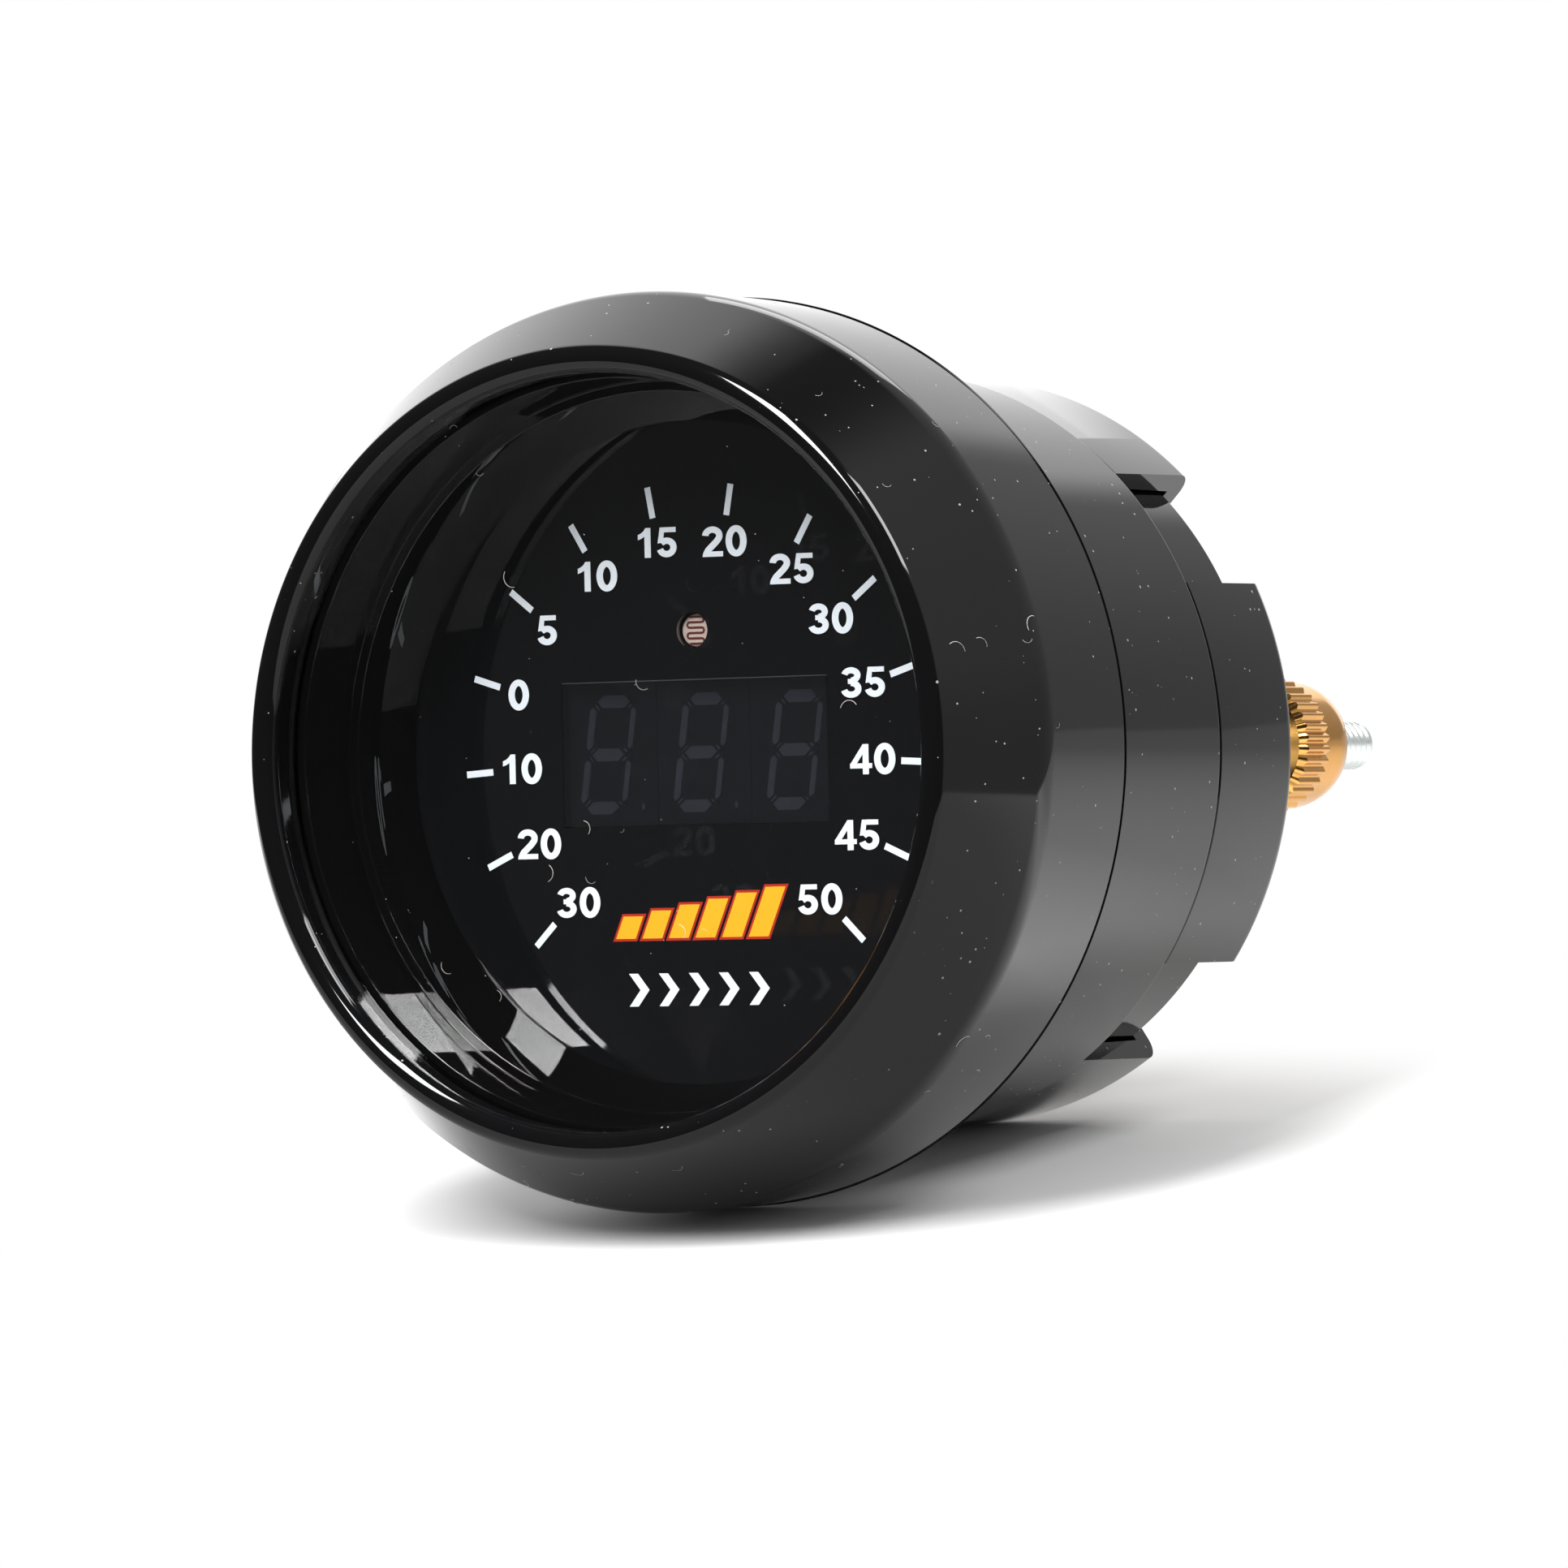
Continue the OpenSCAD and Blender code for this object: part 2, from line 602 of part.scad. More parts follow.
// Housing: the cup that holds it all, with a threaded collar, the barrel and a narrower drum
module housing() color("#151517") difference() {
    union() {
        turned([[collar_in, collar_front], [collar_r - edge_break, collar_front],
                [collar_r, collar_front + edge_break], [collar_r, 0], [barrel_r, 0],
                [barrel_r, barrel_len - edge_break], [barrel_r - edge_break, barrel_len],
                [drum_r, barrel_len], [drum_r, drum_rear - edge_break], [drum_r - edge_break, drum_rear],
                [0, drum_rear], [0, rear_wall_y], [drum_in, rear_wall_y], [drum_in, shoulder_y],
                [barrel_in, shoulder_y], [barrel_in, dial_rear], [collar_in, dial_rear]]);
        for (side = [1, -1]) rod(boss_r, rear_wall_y - boss_len, drum_rear, side * stud_x);
        at_angle(key_angle, collar_in) block(2 * key_h, key_w, collar_front, dial_rear);
    }
    for (side = [1, -1]) {
        rod(stud_r + insert_gap, insert_y, drum_rear + over, side * stud_x);
        rod(insert_r + insert_gap, insert_y - insert_gap, insert_y + insert_t + insert_gap, side * stud_x);
    }
    block(socket_w(power_pins) + 2 * socket_gap, socket_h + 2 * socket_gap, rear_wall_y - over, drum_rear + over,
          0, socket_z);
    block(socket_w(sensor_pins) + 2 * socket_gap, socket_h + 2 * socket_gap, rear_wall_y - over, drum_rear + over,
          0, -socket_z);
    rod(tool_hole_r, rear_wall_y - over, drum_rear + over);
}

// Stud: a zinc-plated threaded stud whose round head is moulded into the housing
module stud(side) color("#c3c8cc") union() {
    rod(insert_r, insert_y, insert_y + insert_t, side * stud_x);
    translate([side * stud_x, 0, 0]) turned([[0, insert_y], [stud_r, insert_y], [stud_r, stud_tip - edge_break],
                                             [stud_r - edge_break, stud_tip], [0, stud_tip]]);
}
module stud_right() stud(1);
module stud_left() stud(-1);

plug_opening_r = norm([socket_w(power_pins) / 2, socket_z + socket_h / 2]) + plug_margin;

// Bracket: a cup over the drum, its wall cut into four tabs and its rear plate opened for the plugs
module mounting_bracket() color("#18181a") difference() {
    turned(concat(
        [[bracket_in, bracket_front], [bracket_r - edge_break, bracket_front],
         [bracket_r, bracket_front + edge_break]],
        arc(bracket_r - bracket_round, bracket_rear - bracket_round, bracket_round, 0, 90),
        [[plug_opening_r, bracket_rear], [plug_opening_r, plate_front], [bracket_in, plate_front]]));
    for (a = notch_centres) rotate([0, -a, 0]) slab(bracket_front - over, bracket_rear + over)
        polygon([for (r = [notch_floor_r, bracket_r + over], side = [-1, 1])
                 let (s = r > bracket_r ? side : -side) r / cos(notch / 2) * [cos(s * notch / 2), sin(s * notch / 2)]]);
    for (side = [1, -1]) rod(stud_r + hole_gap, plate_front - over, bracket_rear + over, side * stud_x);
}

// Thumb nut: a domed brass nut with a knurled rim, chamfered at its flat face
module thumb_nut(side) color("#c99a45") translate([side * stud_x, 0, 0]) difference() {
    union() {
        intersection() {
            slab(nut_front, knurl_rear + edge_break) knurl();
            turned([[0, nut_front], [nut_r - nut_chamfer, nut_front], [nut_r, nut_front + nut_chamfer],
                    [nut_r, knurl_rear], [dome_r, knurl_rear + edge_break], [0, knurl_rear + edge_break]]);
        }
        turned(concat([[0, knurl_rear], [dome_r, knurl_rear]],
                      arc(0, dome_y, dome_r, 0, acos((nut_bore_r - edge_break) / dome_r)),
                      [[0, dome_y + dome_r * sin(acos((nut_bore_r - edge_break) / dome_r))]]));
    }
    rod(nut_bore_r, nut_front - over, dome_y + dome_r + over);
}

// Outline of the knurl: straight ridges with narrow flat tops
module knurl() {
    tooth = 360 / knurl_count;
    root_r = nut_r - knurl_h;
    ridge_share = 0.18;
    root_share = 0.12;
    polygon([for (i = [0 : knurl_count - 1], corner = [[-ridge_share, nut_r], [ridge_share, nut_r],
                                                       [0.5 - root_share, root_r], [0.5 + root_share, root_r]])
             corner[1] * [cos((i + corner[0]) * tooth), sin((i + corner[0]) * tooth)]]);
}
module thumb_nut_right() thumb_nut(1);
module thumb_nut_left() thumb_nut(-1);

bezel();
lens();
lens_gasket();
spacer_ring();
faceplate();
display_pane();
light_shroud();
display_digit_left();
display_digit_middle();
display_digit_right();
light_sensor();
scale_lamps();
display_board();
lamp_drivers();
board_header();
header_socket();
board_spacers();
board_screws();
main_board();
microcontroller();
crystal();
voltage_regulator();
choke();
capacitors();
power_socket();
power_contacts();
sensor_socket();
sensor_contacts();
selector_switch();
selector_rotor();
housing();
stud_right();
stud_left();
mounting_bracket();
thumb_nut_right();
thumb_nut_left();
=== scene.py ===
# %% [markdown]
# # A panel-mounted boost gauge
# The gauge is a black moulded cup with a screw-on bezel, a printed dial under a clear lens, and a
# four-tabbed bracket held by two brass thumb nuts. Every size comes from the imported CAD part, which is
# loaded first and never moved. This lesson gives each piece the surface that the real one has, and rebuilds
# in finer mesh the turned pieces whose gloss would show the facets of a CAD export.

import json
import math

import bmesh
import bpy
from mathutils import Matrix, Vector


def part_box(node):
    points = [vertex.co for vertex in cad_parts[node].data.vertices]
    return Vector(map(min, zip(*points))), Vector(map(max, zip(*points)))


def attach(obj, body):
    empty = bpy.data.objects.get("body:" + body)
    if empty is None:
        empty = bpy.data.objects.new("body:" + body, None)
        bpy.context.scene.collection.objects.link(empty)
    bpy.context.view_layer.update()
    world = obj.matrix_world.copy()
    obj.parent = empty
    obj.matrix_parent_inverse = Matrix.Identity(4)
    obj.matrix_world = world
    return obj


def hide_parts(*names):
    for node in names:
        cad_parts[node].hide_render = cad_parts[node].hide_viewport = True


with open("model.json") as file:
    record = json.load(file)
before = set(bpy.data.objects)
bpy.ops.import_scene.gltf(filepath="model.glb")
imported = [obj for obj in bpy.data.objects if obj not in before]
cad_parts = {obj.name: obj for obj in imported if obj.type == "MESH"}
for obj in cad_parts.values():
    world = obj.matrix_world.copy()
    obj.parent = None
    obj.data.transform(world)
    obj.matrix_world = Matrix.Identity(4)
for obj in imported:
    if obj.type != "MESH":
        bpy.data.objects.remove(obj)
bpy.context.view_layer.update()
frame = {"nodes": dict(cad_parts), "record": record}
nodes = frame["nodes"]

# %% [markdown]
# ## Units, colours and nodes
# Lengths are written in millimetres, as on a drawing, and turned to metres where a mesh is made. Colours
# are written as the sRGB hex values that a designer would pick, and one function turns them to the linear
# values that Cycles works in. One more small function adds a shader or geometry node with its settings and
# links, so that a tree reads as a list of steps.

# %% Small helpers
MM = 0.001


def linear(hex_colour):
    """An sRGB hex colour as linear RGBA."""
    parts = [int(hex_colour[i : i + 2], 16) / 255 for i in (1, 3, 5)]
    return (*[c / 12.92 if c <= 0.04045 else ((c + 0.055) / 1.055) ** 2.4 for c in parts], 1.0)


def add(tree, kind, inputs=None, **settings):
    """Adds a node. inputs maps a socket to a value, or to the output, or the node, that feeds it."""
    made = tree.nodes.new(kind)
    for name, value in settings.items():
        setattr(made, name, value)
    for key, value in (inputs or {}).items():
        if isinstance(value, bpy.types.Node):
            value = value.outputs[0]
        if isinstance(value, bpy.types.NodeSocket):
            tree.links.new(value, made.inputs[key])
        else:
            made.inputs[key].default_value = value
    return made


print("ABS black is", [round(c, 4) for c in linear("#0a0a0b")])

# %% [markdown]
# ## Measures taken from the CAD part
# A dressed piece has to fit the solid that it stands for. The script can't read the CAD source, so it asks
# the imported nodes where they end, and repeats only the few radii and lengths that a bounding box doesn't
# show. The gauge's axis lies along Y, the dial faces -Y, and Z is up.

# %% Reach of a node
X, Y, Z = 0, 1, 2
LOW, HIGH = 0, 1


def reach(node, axis, side):
    """Where a CAD node ends along an axis, in millimetres."""
    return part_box(node)[side][axis] / MM


BEZEL_R, BEZEL_REAR = reach("bezel", X, HIGH), reach("bezel", Y, HIGH)
BRACKET_R, BRACKET_REAR = reach("mounting_bracket", X, HIGH), reach("mounting_bracket", Y, HIGH)
print("bezel radius", round(BEZEL_R, 2), "mm, bracket radius", round(BRACKET_R, 2), "mm")

# %% [markdown]
# ## The camera
# The photograph was taken with a long lens from the front right, a little above the table. The place and
# the lens were worked out from the dial's fourteen marks, so the camera is set by its three axes and needs
# no aiming. The view transform is Standard, which shows a colour as it is written.

# %% Camera
camera = bpy.data.objects.new("camera", bpy.data.cameras.new("camera"))
bpy.context.scene.collection.objects.link(camera)
right = (0.85794, 0.51327, -0.02216)
up = (0.02354, 0.00381, 0.99971)
back = (0.51321, -0.85822, -0.00881)
place = Matrix((right, up, back)).transposed().to_4x4()
place.translation = Vector((350.75, -579.8, -8.2)) * MM
camera.matrix_world = place
camera.data.sensor_width = 36.0
camera.data.lens = 231.41
camera.data.clip_start, camera.data.clip_end = 0.02, 20.0
bpy.context.scene.camera = camera
bpy.context.scene.view_settings.view_transform = "Standard"
print("camera", [round(v, 3) for v in camera.location], "lens", camera.data.lens)

# %% [markdown]
# ## How the gauge rests
# The gauge rests on the rear edge of its bezel and on the rear rim of its bracket. The bezel is the larger,
# so the gauge leans back. In the gauge's own frame it is the table that slopes, and the slope follows from
# the two radii and the distance between them.

# %% Slope of the table
EDGE = 0.3
BRACKET_ROUND = 1.6
rest_y = BEZEL_REAR - EDGE
span = Vector((BRACKET_REAR - BRACKET_ROUND - rest_y, BEZEL_R - (BRACKET_R - BRACKET_ROUND)))
slope = math.atan2(span.y, span.x) - math.asin(BRACKET_ROUND / span.length)
table_up = Vector((0, -math.sin(slope), math.cos(slope)))
table_rear = Vector((0, math.cos(slope), math.sin(slope)))
table_side = Vector((1, 0, 0))


def toward(azimuth, elevation):
    """A direction over the table. Azimuth 0 is in front of the gauge and 90 to its right, in degrees."""
    a, e = math.radians(azimuth), math.radians(elevation)
    level = table_side * math.sin(a) - table_rear * math.cos(a)
    return level * math.cos(e) + table_up * math.sin(e)


print("the table slopes by", round(math.degrees(slope), 2), "degrees")

# %% [markdown]
# ## The table's paper
# The table reads as white from its colour, not from more light, and it keeps the gauge's shadow. Beyond the
# shadow the camera sees it as plain white. Everywhere but to the camera, and so in the gloss of the gauge, it
# shows painted light: tones painted by place, which change from front to rear and are lightest just behind
# the gauge, where they brighten the gauge's shadow as the gloss mirrors it. Seen from below it is clear, so
# that it hides nothing in views from low behind.

# %% Paper
SHADOW_MIDDLE = (0.002, 0.009, 0)
SHADOW_NEAR, SHADOW_FAR = 0.034, 0.057
PAINTED_LIGHT_FRONT, PAINTED_LIGHT_REAR = -0.03, 0.2
# These tones are painted light: the table's brightness in the gauge's gloss, set by the distance to the rear
# and lightest just behind the gauge.
PAINTED_LIGHT_TONES = ((0.09, "#999999"), (0.15, "#d6d6d6"), (0.22, "#ffffff"), (0.39, "#cccccc"))
PAINTED_LIGHT_END, CAMERA_TONE = "#8f8f8f", "#d2d2d2"


def new_material(name):
    """An empty node material and its tree."""
    made = bpy.data.materials.new(name)
    made.use_nodes = True
    made.node_tree.nodes.clear()
    return made, made.node_tree


table_material, tree = new_material("table_paper_and_painted_light")
camera_ray = add(tree, "ShaderNodeLightPath").outputs["Is Camera Ray"]
spot = add(tree, "ShaderNodeTexCoord").outputs["Object"]
from_front = add(tree, "ShaderNodeSeparateXYZ", {0: spot}).outputs["Y"]
rear = add(tree, "ShaderNodeMapRange", {"Value": from_front, "From Min": PAINTED_LIGHT_FRONT, "From Max": PAINTED_LIGHT_REAR})
painted_light_ramp = add(tree, "ShaderNodeValToRGB", {0: rear})
stops = painted_light_ramp.color_ramp.elements
stops[0].color = stops[1].color = linear(PAINTED_LIGHT_END)
for share, grey in PAINTED_LIGHT_TONES:
    stops.new(share).color = linear(grey)
tone = add(tree, "ShaderNodeMix", {0: camera_ray, 6: painted_light_ramp, 7: linear(CAMERA_TONE)}, data_type="RGBA")
paper_and_painted_light = add(tree, "ShaderNodeBsdfDiffuse", {"Color": tone.outputs[2]})
apart = add(tree, "ShaderNodeVectorMath", {0: spot, 1: SHADOW_MIDDLE}, operation="DISTANCE").outputs["Value"]
away = add(
    tree, "ShaderNodeMapRange", {"Value": apart, "From Min": SHADOW_NEAR, "From Max": SHADOW_FAR},
    interpolation_type="SMOOTHSTEP",
)
faded = add(tree, "ShaderNodeMath", {0: away, 1: camera_ray}, operation="MULTIPLY")
white = add(tree, "ShaderNodeEmission", {"Strength": 1.0})
top = add(tree, "ShaderNodeMixShader", {0: faded, 1: paper_and_painted_light, 2: white})
underside = add(tree, "ShaderNodeNewGeometry").outputs["Backfacing"]
from_below = add(tree, "ShaderNodeMath", {0: camera_ray, 1: underside}, operation="MULTIPLY")
clear = add(tree, "ShaderNodeBsdfTransparent")
seen = add(tree, "ShaderNodeMixShader", {0: from_below, 1: top, 2: clear})
add(tree, "ShaderNodeOutputMaterial", {"Surface": seen})
print("the paper turns white between", SHADOW_NEAR / MM, "and", SHADOW_FAR / MM, "mm")

# %% [markdown]
# ## The table itself
# It is a board, one face with four corners. It ends a hand's length from the gauge in front and to the
# right, because that is where the pale part of the gauge's reflections ends.

# %% Board
BOARD_SIDE, BOARD_DEPTH = (-0.5, 0.19), (-0.17, 0.7)


def object_of(bm, name):
    """Turns a bmesh into an object in the scene."""
    mesh = bpy.data.meshes.new(name)
    bm.to_mesh(mesh)
    bm.free()
    made = bpy.data.objects.new(name, mesh)
    bpy.context.scene.collection.objects.link(made)
    return made


bm = bmesh.new()
corners = ((0, 0), (1, 0), (1, 1), (0, 1))
bm.faces.new([bm.verts.new((BOARD_SIDE[i], BOARD_DEPTH[j], 0)) for i, j in corners])
table = object_of(bm, "table")
table.data.materials.append(table_material)
turn = Matrix((table_side, table_rear, table_up)).transposed().to_4x4()
turn.translation = Vector((0, rest_y, -BEZEL_R)) * MM
table.matrix_world = turn
print("board", BOARD_SIDE[1] - BOARD_SIDE[0], "by", BOARD_DEPTH[1] - BOARD_DEPTH[0], "m")

# %% [markdown]
# ## The room
# A glossy black surface has hardly any colour of its own. What the eye reads as its shape is the room,
# mirrored: a broad bright sweep behind, a grey wall to the right and a dark room round the camera. So the
# room is built as a dome that only reflections see, with its brightness kept on its points.

# %% Room
CENTRE = Vector((0, 0.010, 0))
ROOM_RADIUS = 2.1
ROOM_DARK, WALL_TONE, WALL_RISE, SWEEP_TONE = 0.045, 0.34, 0.14, 1.4
AROUND, UPWARD, LOWEST = 180, 80, -30


def ease(low, high, value):
    """0 below low, 1 above high, and a smooth rise between."""
    t = min(1.0, max(0.0, (value - low) / (high - low)))
    return t * t * (3 - 2 * t)


def room_tone(azimuth, elevation):
    """How bright the room is in a direction, where 1 is white. Azimuth runs from 0 to 360."""
    below_ceiling = 1 - ease(56, 68, elevation)
    wall = ease(74, 90, azimuth) * (1 - ease(174, 182, azimuth))
    wall_tone = WALL_TONE + WALL_RISE * ease(0, 20, elevation)
    sweep = ease(174, 182, azimuth) * (1 - ease(228, 250, azimuth))
    return ROOM_DARK + below_ceiling * (wall * wall_tone + sweep * SWEEP_TONE)


ways = [
    (360 * i / AROUND, LOWEST + (90 - LOWEST) * j / UPWARD) for i in range(AROUND) for j in range(UPWARD + 1)
]
bm = bmesh.new()
verts = [bm.verts.new(CENTRE + toward(*way) * ROOM_RADIUS) for way in ways]
for i in range(AROUND):
    for j in range(UPWARD):
        near = i * (UPWARD + 1) + j
        far = (i + 1) % AROUND * (UPWARD + 1) + j
        bm.faces.new((verts[near], verts[near + 1], verts[far + 1], verts[far]))
room = object_of(bm, "studio_room")
tone_layer = room.data.attributes.new("tone", "FLOAT", "POINT")
tone_layer.data.foreach_set("value", [room_tone(*way) for way in ways])
room_material, tree = new_material("studio_room")
painted = add(tree, "ShaderNodeAttribute", attribute_name="tone")
glow = add(tree, "ShaderNodeEmission", {"Strength": painted.outputs["Fac"]})
add(tree, "ShaderNodeOutputMaterial", {"Surface": glow})
room.data.materials.append(room_material)
room.visible_camera = room.visible_diffuse = room.visible_shadow = room.visible_transmission = False
print("room of", len(room.data.polygons), "faces")

# %% [markdown]
# ## The lamps
# Three softboxes show in the gloss as sharp white patches: one in front for the dial, one to the right and
# one behind. Each is given by where it stands and how wide it looks from the gauge, which is how a
# photographer would place it. A large panel on the left fills the shadow and shows in no reflection.

# %% Lamps
def softbox(name, azimuth, elevation, wide, tall, radiance, distance=1.0):
    """A rectangular lamp that shows wide by tall degrees from the gauge, and is aimed at it."""
    lamp = bpy.data.lights.new(name, "AREA")
    lamp.shape = "RECTANGLE"
    lamp.size = 2 * distance * math.tan(math.radians(wide / 2))
    lamp.size_y = 2 * distance * math.tan(math.radians(tall / 2))
    lamp.energy = radiance * math.pi * lamp.size * lamp.size_y
    made = bpy.data.objects.new(name, lamp)
    bpy.context.scene.collection.objects.link(made)
    direction = toward(azimuth, elevation)
    made.location = CENTRE + direction * distance
    made.rotation_mode = "QUATERNION"
    made.rotation_quaternion = direction.to_track_quat("Z", "Y")
    print(name, "power", round(lamp.energy, 2), "W")
    return made


softbox("front_softbox", -2, 53, 14, 34, 30.0)
softbox("right_softbox", 86, 50, 20, 22, 12.0)
softbox("rear_softbox", -168, 43, 28, 18, 3.2)
softbox("fill_panel", -80, 32, 56, 40, 2.4).visible_glossy = False

# %% [markdown]
# ## The white world
# Behind everything stands a plain white world. To the camera, to glass and to a reflection that looks past
# the room it has strength 1. As soft light on the gauge it is dimmer, so that black stays black.

# %% World
SKY_LIGHT = 0.75
world = bpy.data.worlds.new("white_world")
bpy.context.scene.world = world
world.use_nodes = True
tree = world.node_tree
tree.nodes.clear()
rays = add(tree, "ShaderNodeLightPath")
seen = rays.outputs["Is Camera Ray"]
for kind in ("Is Glossy Ray", "Is Transmission Ray"):
    seen = add(tree, "ShaderNodeMath", {0: seen, 1: rays.outputs[kind]}, operation="MAXIMUM")
level = add(tree, "ShaderNodeMapRange", {"Value": seen, "To Min": SKY_LIGHT, "To Max": 1.0})
sky = add(tree, "ShaderNodeBackground", {"Color": (1, 1, 1, 1), "Strength": level})
add(tree, "ShaderNodeOutputWorld", {"Surface": sky})
print("world strength", SKY_LIGHT, "as light and 1 as background")

# %% [markdown]
# ## Dust
# Handling leaves dust on black gloss. Each speck is drawn round the point of one cell of a Voronoi pattern.
# Chance gives a cell its speck or not and sets the speck's size, and a slow noise makes some places dustier.

# %% Specks
CLUMP = 8


def coordinates(tree):
    """The piece's own coordinates in metres, so that a pattern stays on it in every pose."""
    return add(tree, "ShaderNodeTexCoord").outputs["Object"]


def specks(tree, spacing, size, share):
    """A mask that is 1 on specks: spacing and size in millimetres, share the part of cells that have one."""
    cells = add(
        tree, "ShaderNodeTexVoronoi",
        {"Vector": coordinates(tree), "Scale": 1 / (spacing * MM), "Randomness": 1.0},
    )
    chance = add(tree, "ShaderNodeSeparateColor", {0: cells.outputs["Color"]})
    clumps = add(
        tree, "ShaderNodeTexNoise", {"Vector": coordinates(tree), "Scale": 1 / (CLUMP * MM), "Detail": 2.0}
    )
    dusty = add(
        tree, "ShaderNodeMapRange",
        {"Value": clumps, "From Min": 0.42, "From Max": 0.68, "To Min": share * 0.12, "To Max": share},
    )
    chosen = add(tree, "ShaderNodeMath", {0: chance.outputs[0], 1: dusty}, operation="LESS_THAN")
    large = add(tree, "ShaderNodeMath", {0: chance.outputs[1], 1: 2.0}, operation="POWER")
    radius = add(tree, "ShaderNodeMath", {0: large, 1: size / spacing}, operation="MULTIPLY")
    near = add(tree, "ShaderNodeMath", {0: cells.outputs["Distance"], 1: radius}, operation="LESS_THAN")
    return add(tree, "ShaderNodeMath", {0: near, 1: chosen}, operation="MULTIPLY").outputs[0]


DUST = (0.6, 0.1, 1.0)
LENS_DUST = (1.1, 0.11, 0.7)
DUST_GREY, LENS_DUST_GREY = linear("#8a8884"), linear("#b9b7b2")
print("specks up to", DUST[1], "mm in radius, one cell each", DUST[0], "mm")

# %% [markdown]
# ## A finish
# Almost every piece is a solid, opaque material with one even surface, so one recipe serves them all. A
# noise of the material's own grain varies its colour and roughness a little and gives it a shallow relief.
# Dust and a clear film come on top where a piece has them.

# %% One recipe
def finish(
    name, colour, roughness, ior=1.5, metallic=0.0, grain=0.5, depth=0.004, spread=0.1, wear=0.12, dust=None,
    coat=0.0,
):
    """A finished surface. grain is the pattern's size and depth its height, in millimetres. spread is how
    much the colour varies, and wear how much the roughness does. dust is (spacing, size, share) of the
    specks, and coat the part that has a clear film over it."""
    made, tree = new_material(name)
    noise = add(
        tree, "ShaderNodeTexNoise",
        {"Vector": coordinates(tree), "Scale": 1 / (grain * MM), "Detail": 3.0, "Roughness": 0.55},
    )
    base = linear(colour)
    dark = tuple(c * (1 - spread) for c in base[:3]) + (1,)
    light = tuple(min(1.0, c * (1 + spread)) for c in base[:3]) + (1,)
    shade = add(tree, "ShaderNodeMix", {0: noise, 6: dark, 7: light}, data_type="RGBA").outputs[2]
    limits = {"To Min": roughness * (1 - wear), "To Max": min(1.0, roughness * (1 + wear))}
    rough = add(tree, "ShaderNodeMapRange", {"Value": noise, **limits}).outputs[0]
    relief = add(tree, "ShaderNodeBump", {"Height": noise, "Distance": depth * MM, "Strength": 1.0})
    if dust:
        mask = specks(tree, *dust)
        shade = add(tree, "ShaderNodeMix", {0: mask, 6: shade, 7: DUST_GREY}, data_type="RGBA").outputs[2]
        rough = add(tree, "ShaderNodeMix", {0: mask, 2: rough, 3: 0.9}, data_type="FLOAT").outputs[0]
    skin = add(
        tree, "ShaderNodeBsdfPrincipled",
        {"Base Color": shade, "Roughness": rough, "Normal": relief, "IOR": ior, "Metallic": metallic,
         "Coat Weight": coat, "Coat Roughness": 0.02, "Coat IOR": 1.58},
    )
    add(tree, "ShaderNodeOutputMaterial", {"Surface": skin})
    return made


print("one recipe makes every opaque finish, and clear pieces have their own")

# %% [markdown]
# ## Plastics and rubber
# The bezel, the housing and the bracket are injection-moulded ABS, polished in the mould. Such a surface is
# a clear skin over black: an IOR near 1.5, hardly any roughness, and a very shallow waviness a few
# millimetres long that bends the edges of a reflection. The pieces inside are mostly dull.

# %% Finishes of plastic
FINISHES = {
    # Polished black ABS: near-black and mirror-like, with a slow waviness from the mould.
    "bezel_black": finish("moulded_abs_bezel", "#0a0a0b", 0.06, 1.50, grain=6, depth=0.004, dust=DUST),
    "housing_black": finish("moulded_abs_housing", "#0a0a0b", 0.07, 1.50, grain=6, depth=0.004, dust=DUST),
    "bracket_black": finish("moulded_abs_bracket", "#0b0b0c", 0.07, 1.50, grain=5, depth=0.004, dust=DUST),
    # ABS behind the lens: free of dust, with a gloss that the dial mirrors again.
    "ring_black": finish("moulded_abs_ring", "#050505", 0.02, 1.6, grain=4, depth=0.004),
    # Back-printed polycarbonate sheet: black ink under a glossy face.
    "dial_black": finish(
        "printed_polycarbonate", "#0c0d0f", 0.02, 1.6, grain=5, depth=0.0006, spread=0.06, coat=1.0
    ),
    # Nitrile rubber: soft, dull and fine-grained.
    "gasket_rubber": finish("nitrile_rubber", "#141414", 0.8, 1.52, grain=0.2, depth=0.01),
    # Spark-textured plastic: matt, to keep stray light off the dial.
    "shroud_black": finish("textured_plastic", "#161617", 0.7, 1.5, grain=0.15, depth=0.01),
    # Grey epoxy: the half-matt face of an unlit module.
    "digit_grey": finish("grey_epoxy", "#26282d", 0.5, 1.5, grain=0.3, depth=0.003),
    # Translucent lamp resin: off-white, with a soft gloss.
    "lamp_white": finish("lamp_resin", "#ddd9c4", 0.35, 1.5, grain=0.4, depth=0.002, spread=0.05),
    # Moulded epoxy round a chip: charcoal, with a fine matt grain.
    "chip_black": finish("moulded_epoxy", "#232325", 0.55, 1.5, grain=0.12, depth=0.004),
    # Glass-filled nylon: dark grey, with a soft sheen.
    "header_black": finish("glass_filled_nylon", "#242426", 0.45, 1.53, grain=0.25, depth=0.005),
    # Natural nylon: a warm white, slightly waxy.
    "socket_white": finish("natural_nylon", "#e4e1d6", 0.42, 1.53, grain=0.6, depth=0.004, spread=0.04),
    # Dyed resin: a clear blue, half glossy.
    "switch_blue": finish("switch_resin", "#2c66a8", 0.4, 1.5, grain=0.4, depth=0.003),
    # Acetal: a cool, slippery white.
    "rotor_white": finish("acetal", "#edece6", 0.35, 1.48, grain=0.4, depth=0.003, spread=0.04),
}
print("plastics:", len(FINISHES))

# %% [markdown]
# ## Metals, ceramics and boards
# A metal has no colour under its surface, so its hex value is the colour of its reflections. Zinc plating is
# pale and a little blue, and the brass nuts were polished and then lacquered, which warms them.

